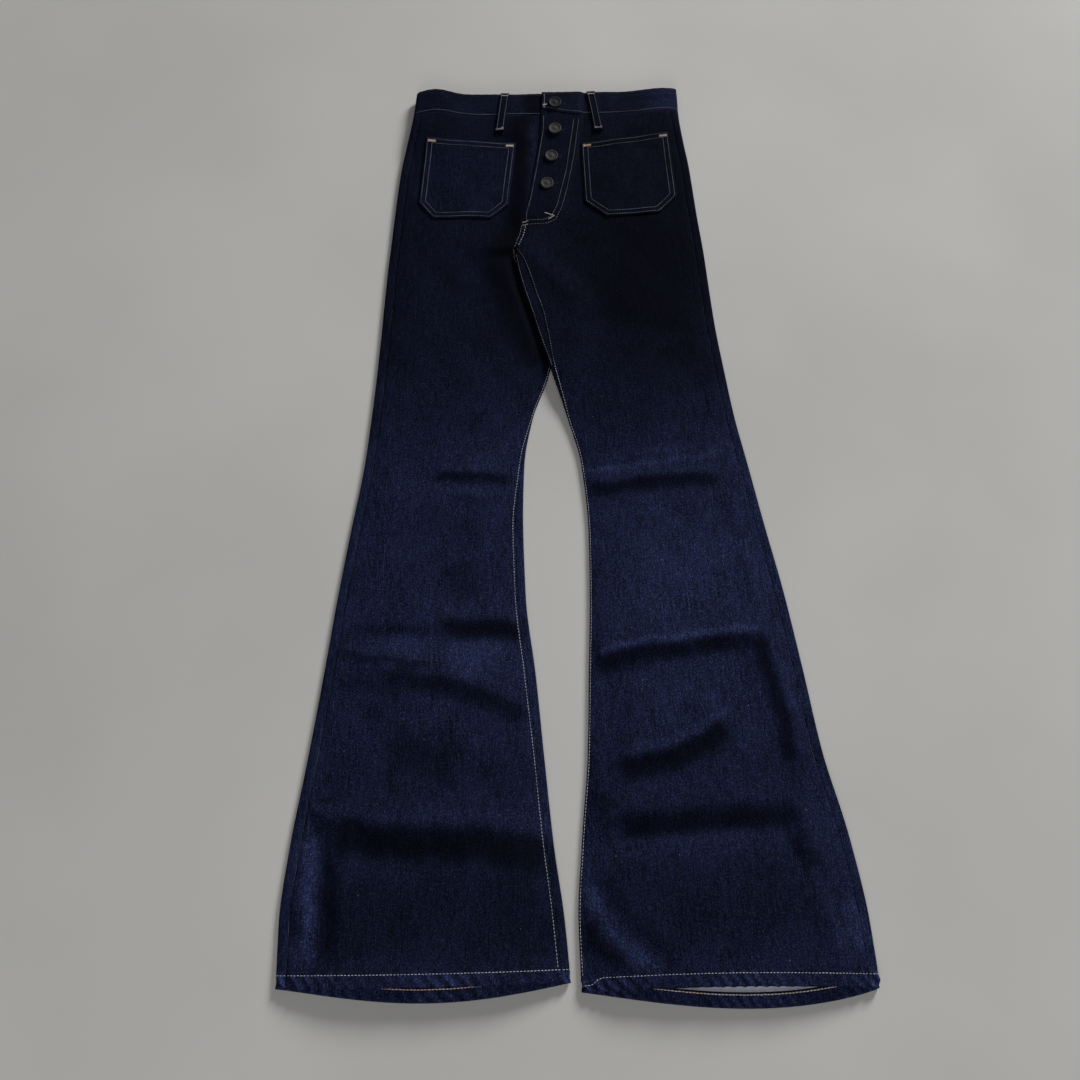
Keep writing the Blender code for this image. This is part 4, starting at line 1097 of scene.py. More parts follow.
def pocket_flat(side):
    mouth, chamfer, foot = [np.array(line) for line in POCKETS[side]]
    rows = [mix(mouth, chamfer, i / POCKET_ROWS[0]) for i in range(POCKET_ROWS[0])]
    rows += [mix(chamfer, foot, i / POCKET_ROWS[1]) for i in range(POCKET_ROWS[1] + 1)]
    share = np.linspace(0.0, 1.0, POCKET_CELLS + 1)[:, None]
    return np.array([mix(row[0], row[1], share) for row in rows])


def distance_to(flat, corners):
    """How far each place lies from a closed outline."""
    best = np.full(flat.shape[:-1], 1e9)
    for a, b in zip(corners, corners[1:] + corners[:1]):
        a, b = np.array(a), np.array(b)
        t = np.clip(((flat - a) @ (b - a)) / ((b - a) @ (b - a)), 0.0, 1.0)
        best = np.minimum(best, np.linalg.norm(flat - mix(a, b, t[..., None]), axis=-1))
    return best


def pocket_outline(side):
    mouth, chamfer, foot = POCKETS[side]
    return [mouth[0], mouth[1], chamfer[1], foot[1], foot[0], chamfer[0]]


def pocket_lift(side, flat):
    """The pocket's own height over the front."""
    edge = distance_to(flat, pocket_outline(side))
    down = np.mean([corner[1] for corner in POCKETS[side].mouth]) - flat[..., 1]
    single = [ramp((edge - TURNED_EDGE) / TURNED_STEP), ramp((down - TURNED_MOUTH) / TURNED_STEP)]
    turned = 1.0 - np.minimum(*single)
    rows = sum(np.exp(-(((edge - row) / ROW_DIP_WIDTH) ** 2)) for row in (POCKET_OUTER_ROW, POCKET_INNER_ROW))
    rim = 1.0 - ramp(edge / RIM_WIDTH)
    belly = BELLY * ramp((edge - BELLY_START) / BELLY_RUN)
    return SEAM_GAP + DENIM + TURNED_RAISE * turned - ROW_DIP * rows - RIM_DIP * rim + belly


for side in SIDES:
    flat = pocket_flat(side)
    cloth(f"patch_pocket_{side}", laid(side, flat, pocket_lift(side, flat)), OUTWARD[side], DENIM, roll=0.25,
          painted_shading=POCKET_SHADE[side])
report("patch_pocket_left", "patch_pocket_right")

# %% [markdown]
# ## Belt loops
# A loop is a narrow strip folded in three. It stands over the waistband, comes down over its lower edge,
# and is tacked at both ends, where its raw end is folded under into a small roll.

# %% Fold the front loops
LOOP_TAIL = 27.0
LOOP_TOP_X, LOOP_FOOT_X = 57.2, 65.3
LOOP_EDGE = 0.3
LOOP_CELLS, FRONT_LOOP_ROWS, BACK_LOOP_ROWS = 8, 45, 24
FOOT_ROLL, HEAD_ROLL = 1.1, 0.7
FOOT_ROLL_IN, HEAD_ROLL_IN = 2.6, 3.4
ROLL_WIDTH = 2.4
LOOP_BOW = 0.5
LOOP_REACH = (-5.0, -2.5, 0.0, 2.5, 5.0)  # a stiff loop bridges the steps in the cloth within this reach
# painted shade of the front loops, for the dimmer light at the top
LOOP_SHADE = -0.8
# across a loop: the height of its very edge, then its welt's height, place and width in half widths
Welt = namedtuple("Welt", "edge height place width")
EDGE_FROM = 0.9
FRONT_WELT = Welt(-0.35, 0.22, 0.72, 0.16)
BACK_WELT = Welt(0.3, 0.45, 0.68, 0.1)


def loop_axis(side, share):
    """The middle of a front loop from its foot to the waistband's top edge."""
    x = OUTWARD[side] * mix(LOOP_FOOT_X, LOOP_TOP_X, share)
    return x, mix(WAIST - LOOP_TAIL, WAIST_TOP - 0.6, share)


def loop_edge(across, welt):
    """The edge of a loop drops off, and a welt runs beside it where the strip is folded."""
    across = np.abs(across)
    ridge = welt.height * np.exp(-(((across - welt.place) / welt.width) ** 2))
    return welt.edge * (across > EDGE_FROM) + ridge


def front_loop_grid(side):
    """A loop on the front, with a small roll at each end and a low bow between them."""
    share = np.linspace(0.0, 1.0, FRONT_LOOP_ROWS)[:, None]
    across = np.linspace(-1.0, 1.0, LOOP_CELLS + 1)[None, :]
    middle, y = loop_axis(side, share)
    x = middle + across * (LOOP_WIDTH / 2.0 - LOOP_EDGE)
    reached = [np.minimum(y + step, WAIST_TOP - 3.0) + 0.0 * x for step in LOOP_REACH]
    under = np.maximum.reduce([cloth_height(side, x, line) for line in reached])
    foot = FOOT_ROLL * np.exp(-(((y - (WAIST - LOOP_TAIL) - FOOT_ROLL_IN) / ROLL_WIDTH) ** 2))
    head = HEAD_ROLL * np.exp(-(((y - WAIST_TOP + HEAD_ROLL_IN) / ROLL_WIDTH) ** 2))
    bow = LOOP_BOW * np.sin(math.pi * share)
    edge = loop_edge(across, FRONT_WELT)
    return pack(x, y, under + SEAM_GAP + LOOP_THICKNESS + foot + head + bow + edge)


def back_loop_grid(x):
    """A loop under the back of the waistband, flat on the floor but for its edges."""
    share = np.linspace(0.0, 1.0, BACK_LOOP_ROWS)[:, None]
    across = np.linspace(-1.0, 1.0, LOOP_CELLS + 1)[None, :]
    y = mix(WAIST - BACK_LOOP_TAIL + 0.4, WAIST_TOP - 1.4, share)
    return pack(x + across * (LOOP_WIDTH / 2.0 - LOOP_EDGE), y, loop_edge(across, BACK_WELT))


BACK_LOOP_PLACES = {"right": -108.0, "centre": 0.0, "left": 108.0}
for side in SIDES:
    cloth(f"front_loop_{side}", front_loop_grid(side), 1.0, LOOP_THICKNESS, roll=0.3,
          turned_up=EVERY_ROW, painted_shading=LOOP_SHADE)
for name, x in BACK_LOOP_PLACES.items():
    cloth(f"back_loop_{name}", back_loop_grid(x), -1.0, LOOP_THICKNESS, roll=0.3,
          turned_up=EVERY_ROW, painted_shading=TOP_PAINTED_SHADE)
report("front_loop_right", "back_loop_centre")

# %% [markdown]
# ## Shank buttons
# A jeans button is a pressed cap, rolled over a back plate, on a short shank. A profile turned round
# the upright axis gives it. Small flutes on the ring inside the rim are pressed in by moving the points
# of that ring up and down.

# %% Turn the buttons
BUTTON_PROFILE = [
    (0.0, 2.86), (1.1, 2.84), (1.9, 2.74), (2.4, 2.52), (2.8, 2.4), (4.4, 2.36), (4.8, 2.46), (5.1, 2.36),
    (5.5, 2.4), (6.0, 2.52), (6.4, 2.78), (6.8, 3.05), (7.3, 3.2), (7.8, 3.14), (8.2, 2.88), (8.45, 2.45),
    (8.5, 1.95), (8.3, 1.3), (7.8, 0.7), (7.3, 0.42), (6.6, 0.34), (2.6, 0.34), (2.6, -1.66), (0.0, -1.66),
]
BUTTON_TOP = 3.2
BUTTON_STEPS = 72
FLUTES, FLUTE_DEPTH = 36, 0.07
FLUTED = (5.3, 6.5)
BUTTONS = ("waist", "upper", "middle", "lower")


def button_middle(name):
    """The middle of a CAD button, in garment millimetres."""
    low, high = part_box(f"button_{name}")
    return (np.array([low.x + high.x, low.y + high.y]) / 2.0 - SHIFT[:2]) / MM


def turned(profile, steps, flute=0.0):
    """Points and faces of a profile turned round the upright axis. Its first and last points are poles."""
    radius, height = np.array(profile).T
    angle = np.arange(steps) * 2.0 * math.pi / steps
    inner = (radius > FLUTED[0]) & (radius < FLUTED[1])
    z = height[:, None] + flute * inner[:, None] * np.cos(FLUTES * angle)[None, :]
    points = pack(radius[:, None] * np.cos(angle), radius[:, None] * np.sin(angle), z).reshape(-1, 3)
    ring = np.arange(steps)
    after = np.roll(ring, -1)
    faces = [[steps * i + a, steps * (i + 1) + a, steps * (i + 1) + b, steps * i + b]
             for i in range(len(profile) - 1) for a, b in zip(ring, after)]
    return points, faces


for name in BUTTONS:
    x, y = button_middle(name)
    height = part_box(f"button_{name}")[1].z / MM - BUTTON_TOP
    points, faces = turned(BUTTON_PROFILE, BUTTON_STEPS, FLUTE_DEPTH)
    piece = add_mesh(f"shank_button_{name}", points + [x, y, height], faces)
    bm = bmesh.new()
    bm.from_mesh(piece.data)
    bmesh.ops.remove_doubles(bm, verts=bm.verts, dist=1e-6)
    bm.to_mesh(piece.data)
    bm.free()
report("shank_button_waist")

# %% [markdown]
# ## Buttonholes
# Each button comes up through a keyhole: an eye round the shank, and a slit that runs away from the
# fly's edge. A Boolean modifier cuts them out of the left front and the waistband with a keyhole shape.

# %% Cut the buttonholes
EYE_RADIUS = 3.2
EYE_POINTS = 20
SLIT_LENGTH, SLIT_WIDTH = 13.0, 0.7
CUTTER_FOOT, CUTTER_HEAD = 0.45, 6.0  # the cutter ends just over the layer below, and well above the cloth


def keyhole_outline(grow=0.0):
    """The keyhole's outline round its eye, in mm."""
    radius, half = EYE_RADIUS + grow, SLIT_WIDTH / 2.0 + grow
    opening = math.asin(half / radius)
    arc = np.linspace(opening, 2.0 * math.pi - opening, EYE_POINTS)
    eye = [(radius * math.cos(a), radius * math.sin(a)) for a in arc]
    end = SLIT_LENGTH + grow
    return np.array(eye + [(end - half, -half), (end, 0.0), (end - half, half)])


def keyhole_cutter(name, raised):
    """An upright block with the keyhole's outline, round one button."""
    outline = keyhole_outline()
    middle = button_middle(name)
    height = float(cloth_height("left", middle[0], middle[1]))
    low, high = height - raised + CUTTER_FOOT, height + CUTTER_HEAD
    count = len(outline)
    ring = np.concatenate([outline + middle, outline + middle])
    points = pack(ring[:, 0], ring[:, 1], np.repeat([low, high], count))
    sides = [[i, (i + 1) % count, count + (i + 1) % count, count + i] for i in range(count)]
    faces = [list(range(count))[::-1], list(range(count, 2 * count))] + sides
    return points, faces


def cut_keyholes(host, names, raised):
    """Cuts the keyholes for some buttons out of one piece, and bakes the cut into its mesh."""
    points, faces, start = [], [], 0
    for name in names:
        part_points, part_faces = keyhole_cutter(name, raised)
        points.append(part_points)
        faces += [[start + i for i in face] for face in part_faces]
        start += len(part_points)
    cutter = add_mesh("keyholes", np.concatenate(points), faces, list(host.data.materials))
    pieces.pop("keyholes")
    cut = host.modifiers.new("keyholes", "BOOLEAN")
    cut.operation, cut.solver, cut.object = "DIFFERENCE", "EXACT", cutter
    cleaned = bpy.data.meshes.new_from_object(host.evaluated_get(bpy.context.evaluated_depsgraph_get()))
    host.modifiers.clear()
    host.data = cleaned
    bpy.data.objects.remove(cutter)


cut_keyholes(pieces["front_left"], ("upper", "middle", "lower"), FLY_RAISE)
cut_keyholes(pieces["waistband_strip"], ("waist",), BAND_RAISE)
report("front_left", "waistband_strip")

# %% [markdown]
# ## Stitches
# Topstitching is what makes jeans read as jeans, so every stitch is a small solid: a bead of thread that
# rises out of the cloth and dips back into it. A curve with a bevel would give a smooth wire instead. A
# row is laid as a route on the cloth, and a ray dropped on the finished pieces finds the height and the
# slope of each stitch. All the stitches of one seam are joined into one mesh.

# %% Drop rays on the cloth
trees = {}


def tree_of(name):
    """A piece's faces, sorted so that rays find them fast."""
    if name not in trees:
        mesh = pieces[name].data
        trees[name] = BVHTree.FromPolygons([v.co for v in mesh.vertices], [p.vertices for p in mesh.polygons])
    return trees[name]


def drop(names, flat, start=60.0, down=-1.0):
    """Where rays from above, or from below, meet the pieces: points and normals, in mm."""
    points, slopes = [], []
    for x, y in np.asarray(flat, float).reshape(-1, 2):
        origin = Vector(world((x, y, start)))
        hits = [tree_of(name).ray_cast(origin, Vector((0.0, 0.0, down)))[:2] for name in names]
        hits = [hit for hit in hits if hit[0] is not None]
        if hits:
            spot, slope = min(hits, key=lambda hit: abs(hit[0].z - origin.z))
            points.append((np.array(spot) - SHIFT) / MM)
            slopes.append(np.array(slope) * (1.0 if slope.z * down < 0.0 else -1.0))
    return np.array(points), np.array(slopes)


pocket_spot = drop(["patch_pocket_right"], [(-110.0, 960.0)])[0][0]
print("a ray meets the right pocket at", pocket_spot.round(1), "mm")

# %% Walk along a route
ROUNDING = 2


def walked(points):
    """How far each point lies along its line."""
    steps = np.linalg.norm(np.diff(points, axis=0), axis=1)
    return np.concatenate([[0.0], np.cumsum(steps)])


def resampled(points, places):
    """The points of a line at these distances along it."""
    length = walked(points)
    return np.stack([np.interp(places, length, column) for column in points.T], axis=-1)


def smooth_route(route, step=1.0):
    """A route through its corners with the corners slightly rounded, a point every step mm."""
    route = np.array(route, float)
    dense = resampled(route, np.arange(0.0, walked(route)[-1], step))
    dense = np.concatenate([dense, route[-1:]])
    for _ in range(ROUNDING):
        dense[1:-1] = (dense[:-2] + 2.0 * dense[1:-1] + dense[2:]) / 4.0
    return dense


corner_route = smooth_route([(0.0, 0.0), (10.0, 0.0), (10.0, 10.0)])
print("a route round a corner of 10 by 10 mm is", walked(corner_route)[-1].round(1), "mm long")

# %% Make stitches
THREAD_RADIUS = 0.31
STITCH, STITCH_PITCH = 2.4, 3.5
STITCH_SCATTER = 0.07
SHORTEST_HALF = 0.05  # half of the shortest stitch
FLOOR_CLEARANCE = 0.4
# rings along a stitch: place from end to end, girth, and height over the cloth, the last two in radii
BEAD = [(-1.0, 0.35, -0.5), (-0.7, 0.9, -0.1), (0.0, 1.0, 0.12), (0.7, 0.9, -0.1), (1.0, 0.35, -0.5)]
BEAD_SIDES = 6
BEAD_LIFT = 0.45
TACK_PITCH, TACK_LEAN, TACK_GIRTH = 0.62, 0.25, 0.8
# every kind of row scatters its stitches from a seed of its own, so changing one leaves the others
SEEDS = {
    "hem": 21, "inner hem": 22, "inseam": 31, "pocket": 41, "pocket tack": 42, "fly": 51, "back rise": 52,
    "fly tack": 53, "front rise": 54, "band": 61, "band end": 62, "loop": 71, "back loop": 72,
    "loop tack": 73, "buttonhole": 81,
}


class Thread:
    """Collects stitches and joins them into one mesh."""

    def __init__(self, kind):
        self.rng = np.random.default_rng(SEEDS[kind])
        self.points, self.faces, self.count = [], [], 0

    def stitch(self, start, end, normal, radius=THREAD_RADIUS):
        """A bead of thread from start to end, on cloth with this normal."""
        along = (end - start) / 2.0
        half = np.linalg.norm(along)
        if half < SHORTEST_HALF:
            return
        side = np.cross(normal, along / half)
        side /= np.linalg.norm(side)
        up = np.cross(along / half, side)
        middle = (start + end) / 2.0 + side * self.rng.normal(0.0, STITCH_SCATTER)
        angle = np.arange(BEAD_SIDES) * 2.0 * math.pi / BEAD_SIDES
        base = self.count
        self.count += BEAD_SIDES * len(BEAD)
        for place_along, girth, height in BEAD:
            ring = radius * girth * (np.cos(angle)[:, None] * side + np.sin(angle)[:, None] * up)
            self.points.append(middle + along * place_along + up * radius * (height + BEAD_LIFT) + ring)
        for i in range(len(BEAD) - 1):
            for j in range(BEAD_SIDES):
                k = (j + 1) % BEAD_SIDES
                low, high = base + i * BEAD_SIDES, base + (i + 1) * BEAD_SIDES
                self.faces.append((low + j, low + k, high + k, high + j))
        self.faces.append(tuple(range(base + BEAD_SIDES - 1, base - 1, -1)))
        self.faces.append(tuple(range(self.count - BEAD_SIDES, self.count)))

    def row(self, points, normals, pitch=STITCH_PITCH, length=STITCH, radius=THREAD_RADIUS):
        """A row of stitches along points that already lie on the cloth, none below the floor."""
        points = np.concatenate([points[:, :2], np.maximum(points[:, 2:], FLOOR_CLEARANCE)], axis=1)
        whole = walked(points)[-1]
        count = max(1, round(whole / pitch))
        pitch, gap = whole / count, pitch - length
        starts = np.arange(count) * pitch
        first, last = resampled(points, starts + gap / 2.0), resampled(points, starts + pitch - gap / 2.0)
        places = walked(points)
        for i, (a, b) in enumerate(zip(first, last)):
            middle = starts[i] + pitch / 2.0
            normal = np.array([np.interp(middle, places, column) for column in normals.T])
            self.stitch(a, b, normal, radius)

    def laid_row(self, names, route, **options):
        """A row of stitches on a route that is dropped on these pieces."""
        points, normals = drop(names, smooth_route(route))
        if len(points) > 1:
            self.row(points, normals, **options)

    def bar_tack(self, names, start, end, width=2.4):
        """A dense zigzag across a line, as at a pocket's corner."""
        start, end = np.array(start, float), np.array(end, float)
        length = np.linalg.norm(end - start)
        along = (end - start) / length
        side = np.array([-along[1], along[0]]) * width / 2.0
        count = int(length / TACK_PITCH)
        for i in range(count + 1):
            middle = start + along * length * i / count
            lean = along * TACK_LEAN
            ends, slopes = drop(names, [middle - side - lean, middle + side + lean])
            if len(ends) == 2:
                self.stitch(ends[0], ends[1], slopes.mean(axis=0), THREAD_RADIUS * TACK_GIRTH)

    def finish(self, name, material):
        piece = add_mesh(name, np.concatenate(self.points), self.faces, [material])
        print(name, "has", len(self.points) // len(BEAD), "stitches")
        return piece


THREAD = bpy.data.materials.new("undyed_thread")
SHADED_THREAD = bpy.data.materials.new("thread_in_painted_shade")
INSIDE_THREAD = bpy.data.materials.new("rose_thread")
TACK_THREAD = bpy.data.materials.new("beige_thread")
BROWN_THREAD = bpy.data.materials.new("brown_thread")
HOLE_THREAD = bpy.data.materials.new("indigo_thread")
print("a stitch has", len(BEAD) * BEAD_SIDES, "points")

# %% [markdown]
# ## Topstitching of the legs
# One row runs round each hem, 12 mm above its fold, and shows again inside the mouth on the back panel.
# One row follows each inseam, and the crotch end of the left one has a second row.

# %% Sew the hems
def hem_row(grid, side, facing, level=HEM_STITCH):
    """The row on a panel's hem: its points, its slopes and how thick the cloth is there."""
    rows = np.array([level - 1.0, level, level + 1.0])
    points = grid(side, rows)
    return points[1], normals_of(points, facing)[1], back_thickness(side, points, rows)[1][:, None]


HEM_RUN_OFF = {"right": (0.0, 0.0), "left": (24.0, 6.5)}  # how near the inner fold, and how far down
RUN_OFF_FADE = 14.0
INNER_STITCH, INNER_PITCH, INNER_RADIUS = 3.2, 3.6, 0.55


def front_hem_row(side):
    """The row on the front. On the left leg it runs off towards the inner corner."""
    rows = np.arange(4.0, 14.0, 1.0)
    points = front_grid(side, rows)
    slopes = normals_of(points, -OUTWARD[side])
    near, down = HEM_RUN_OFF[side]
    x = points[int(HEM_STITCH - rows[0]), :, 0]
    level = HEM_STITCH - down * ramp((near - x) / RUN_OFF_FADE)
    low = np.minimum(np.floor(level - rows[0]).astype(int), len(rows) - 2)
    share = (level - rows[0] - low)[:, None]
    column = np.arange(points.shape[1])
    return tuple(mix(part[low, column], part[low + 1, column], share) for part in (points, slopes))


for side in SIDES:
    hem = Thread("hem")
    inner_hem = Thread("inner hem")
    face, slope = front_hem_row(side)
    hem.row(face, slope)
    face, slope, thickness = hem_row(back_grid, side, OUTWARD[side])
    hem.row(face, slope)
    inner_hem.row(face - slope * thickness, -slope,
                  pitch=INNER_PITCH, length=INNER_STITCH, radius=INNER_RADIUS)
    hem.finish(f"hem_stitches_{side}", THREAD)
    inner_hem.finish(f"inner_hem_stitches_{side}", INSIDE_THREAD)

# %% Sew the inseams
THIGH_ROW = [
    (-46.3, 848.0), (-43.8, 830.0), (-37.2, 800.0), (-27.3, 765.0), (-19.6, 735.0), (-12.5, 710.0),
    (-6.2, 689.0),
]
ROUTE_STEP = 3.0
THREAD_CHANGE = 690.0  # above this level the inseams get the thread painted darker, as painted shade for the dimmer light towards the waist
INSEAM_COLUMN = -4  # the front's column that carries the row, counted from the inseam

for side in SIDES:
    level = np.arange(HEM_STITCH + 2.0, CROTCH - 1.0, ROUTE_STEP)
    grid = front_grid(side, level)
    slope = normals_of(grid, -OUTWARD[side])
    low, high = level < THREAD_CHANGE, level > THREAD_CHANGE - ROUTE_STEP
    for part, rows, material in (("leg", low, THREAD), ("thigh", high, SHADED_THREAD)):
        seam = Thread("inseam")
        seam.row(grid[rows, INSEAM_COLUMN], slope[rows, INSEAM_COLUMN])
        if side == "left" and part == "thigh":
            seam.laid_row(["back_left", "front_left"], THIGH_ROW)
        seam.finish(f"{part}_inseam_stitches_{side}", material)

# %% [markdown]
# ## Topstitching of the pockets
# Two rows go round each pocket and two hold its mouth. A bar tack closes each upper corner.

# %% Sew the pockets
TACK_LENGTH, TACK_WIDTH = 9.5, 3.4
TACK_PLACE = [0.12, 0.5]  # how far in from the outer row it starts, across and down, as shares of the gap


def inset(corners, distance):
    """A closed outline moved in by the same distance all round."""
    corners = np.array(corners)
    if np.cross(corners[1] - corners[0], corners[2] - corners[1]) < 0.0:
        distance = -distance
    moved = []
    for before, at, after in zip(np.roll(corners, 1, axis=0), corners, np.roll(corners, -1, axis=0)):
        a, b = (at - before) / np.linalg.norm(at - before), (after - at) / np.linalg.norm(after - at)
        left_a, left_b = np.array([-a[1], a[0]]), np.array([-b[1], b[0]])
        middle = (left_a + left_b) / np.linalg.norm(left_a + left_b)
        moved.append(at + middle * distance / (middle @ left_a))
    return np.array(moved)


for side in SIDES:
    host = [f"patch_pocket_{side}"]
    sewn = Thread("pocket")
    outline = pocket_outline(side)
    outer, inner = inset(outline, POCKET_OUTER_ROW), inset(outline, POCKET_INNER_ROW)
    for row in (outer, inner):
        sewn.laid_row(host, np.roll(row, -1, axis=0))
    for row in (outer, inner):
        sewn.laid_row(host, row[:2])
    tacks = Thread("pocket tack")
    for start, end in ((0, 1), (1, 0)):
        corner_tack = mix(outer[start], inner[start], TACK_PLACE)
        along = (outer[end] - outer[start]) / np.linalg.norm(outer[end] - outer[start])
        tacks.bar_tack(host, corner_tack, corner_tack + along * TACK_LENGTH, width=TACK_WIDTH)
    sewn.finish(f"pocket_stitches_{side}", SHADED_THREAD)
    tacks.finish(f"pocket_tacks_{side}", TACK_THREAD)

# %% [markdown]
# ## Topstitching of the fly, the waistband and the loops
# The fly has one row along its folded edge and a double curved row where its facing ends. Bar tacks
# hold the foot of the fly. The waistband has a row near each edge, all round.

# %% Sew the fly
FLY_CLOTH = ["front_left"]
FLY_ROWS = {
    "edge": [(-6.5, 1060.5), (-7.3, 1040.7), (-16.6, 984.4), (-26.9, 929.6), (-32.4, 909.7), (-33.2, 897.5)],
    "outer curve": [(39.6, 1054.2), (31.2, 996.5), (20.5, 945.5), (12.2, 915.6), (4.5, 901.0), (-7.9, 895.6),
                    (-34.2, 894.9)],
    "inner curve": [(33.2, 1054.1), (20.2, 972.3), (7.6, 921.7), (-0.3, 905.8), (-9.8, 901.0),
                    (-33.6, 900.6)],
}
FLY_TACKS = [
    ((-9.0, 910.2), (2.4, 906.0)),
    ((2.4, 905.4), (-4.2, 901.8)),
    ((-37.8, 897.0), (-31.0, 899.4)),
    ((-37.6, 893.0), (-31.4, 895.2)),
]
FLY_TACK_WIDTH = 1.1

fly = Thread("fly")
for route in FLY_ROWS.values():
    fly.laid_row(FLY_CLOTH, route)
fly.finish("fly_stitches", SHADED_THREAD)
fly_tacks = Thread("fly tack")
for start, end in FLY_TACKS:
    fly_tacks.bar_tack(FLY_CLOTH + ["front_right"], start, end, width=FLY_TACK_WIDTH)
fly_tacks.finish("fly_tacks", TACK_THREAD)

# %% Sew the rise
RISE_ROW = np.array([(-36.0, 892.9), (-40.1, 876.3), (-46.0, 862.0)])
LEFT_OF_RISE, RIGHT_OF_RISE = [2.2, 0.0], [2.6, 0.0]
BACK_RISE_ROWS = (2.0, 8.0)
RISE_PITCH, RISE_RADIUS = 4.2, 0.38

front_rise = Thread("front rise")
front_rise.laid_row(FLY_CLOTH, RISE_ROW + LEFT_OF_RISE, pitch=RISE_PITCH, radius=RISE_RADIUS)
front_rise.finish("front_rise_stitches", THREAD)

rise_back = Thread("back rise")
rise_back.laid_row(["front_right"], RISE_ROW - RIGHT_OF_RISE)
level = np.arange(CROTCH + WEB + ROUTE_STEP, WAIST - 2.0, ROUTE_STEP)
for gap in BACK_RISE_ROWS:
    seat = pack(read("back", level) + gap, level, 0.0)[:, :2]
    points, normals = drop(["back_left"], seat, start=-20.0, down=1.0)
    rise_back.row(points, normals)
rise_back.finish("rise_stitches", SHADED_THREAD)

# %% Sew the waistband
BAND_END_ROW = [(-5.6, 1064.0), (-5.2, 1080.0), (-5.0, 1097.0)]
BAND_END_TACK = [(-7.0, 1078.0), (-2.0, 1079.0)]
# each row's share of the waistband's height
BAND_ROWS_AT = [("lower", 0.1, SHADED_THREAD), ("upper", 0.94, BROWN_THREAD)]
BAND_HIDDEN = 16  # columns of the band that lie hidden under the fly


def band_row(rise):
    """Points and slopes along the band's face at a share of its height."""
    grid = band_grid()[:, BAND_HIDDEN:]
    slope = normals_of(band_grid(), -1.0)[:, BAND_HIDDEN:]
    place_in = rise * (BAND_ROWS - 1)
    low = int(place_in)
    share = place_in - low
    return mix(grid[low], grid[low + 1], share), mix(slope[low], slope[low + 1], share)


for name, rise_share, material in BAND_ROWS_AT:
    band_thread = Thread("band")
    face, slope = band_row(rise_share)
    band_thread.row(face, slope)
    band_thread.row(face - slope * DOUBLED, -slope)
    band_thread.finish(f"waistband_{name}_stitches", material)
band_end = Thread("band end")
band_end.laid_row(["waistband_strip"], BAND_END_ROW)
band_end.bar_tack(["waistband_strip"], *BAND_END_TACK)
band_end.finish("waistband_end_stitches", THREAD)

# %% Sew the loops
LOOP_ROW = 3.9
HEAD_TACK = ((-4.4, -3.0), (4.4, -3.0), 1.4)  # start and end from the loop's head or foot, and width
FOOT_TACK = ((2.6, 5.2), (4.8, 5.2), 1.6)
FOOT_BAR = ((-4.8, 2.8), (4.8, 2.8), 2.4)
TAIL_GAP, TOP_GAP = 1.5, 2.0  # how far the rows of a back loop stop short of its ends


def loop_tack(sewing, host, middle, tack):
    start, end, width = tack
    sewing.bar_tack(host, middle + start, middle + end, width)


for side in SIDES:
    host = [f"front_loop_{side}"]
    sewn = Thread("loop")
    foot, head = [np.array(loop_axis(side, share)) for share in (0.02, 0.98)]
    for hand in (-LOOP_ROW, LOOP_ROW):
        sewn.laid_row(host, [foot + [hand, 0.0], head + [hand, 0.0]])
    tacks = Thread("loop tack")
    loop_tack(tacks, host, head, HEAD_TACK)
    loop_tack(tacks, host, foot, FOOT_TACK)
    loop_tack(sewn, host, foot, FOOT_BAR)
    sewn.finish(f"loop_stitches_{side}", SHADED_THREAD)
    tacks.finish(f"loop_tacks_{side}", TACK_THREAD)

back_thread = Thread("back loop")
for name, x in BACK_LOOP_PLACES.items():
    for hand in (-LOOP_ROW, LOOP_ROW):
        ends = (WAIST - BACK_LOOP_TAIL + TAIL_GAP, WAIST_TOP - TOP_GAP)
        points = smooth_route([(x + hand, y) for y in ends])
        flat = pack(points[:, 0], points[:, 1], FLOOR_CLEARANCE)
        back_thread.row(flat, np.tile([0.0, 0.0, -1.0], (len(flat), 1)))
back_thread.finish("back_loop_stitches", THREAD)

# %% Sew the buttonholes
HOLE_GAP, HOLE_STITCH = 0.25, 2.0  # the stitches reach from here to there outside the hole's edge
HOLE_STITCHES, HOLE_GIRTH = 80, 0.7
LARGEST_STEP = 1.0  # a stitch that would bridge a higher step is left out

holes = Thread("buttonhole")
for name in BUTTONS:
    host = ["waistband_strip"] if name == "waist" else ["front_left"]
    middle = button_middle(name)
    share = np.linspace(0.0, 1.0, HOLE_STITCHES)
    rims = [smooth_route(keyhole_outline(grow), 0.6) for grow in (HOLE_GAP, HOLE_STITCH)]
    near, far = [resampled(rim, share * walked(rim)[-1]) + middle for rim in rims]
    for a, b in zip(near, far):
        points, slopes = drop(host, [a, b])
        if len(points) == 2 and abs(points[0][2] - points[1][2]) < LARGEST_STEP:
            holes.stitch(points[0], points[1], slopes.mean(axis=0), THREAD_RADIUS * HOLE_GIRTH)
holes.finish("buttonhole_stitches", HOLE_THREAD)

# %% [markdown]
# ## Shader arithmetic
# Masks and patterns are sums and products of other patterns. The small class below wraps a node's
# output so that such sums are written as Python expressions, and each operator adds one Math node.

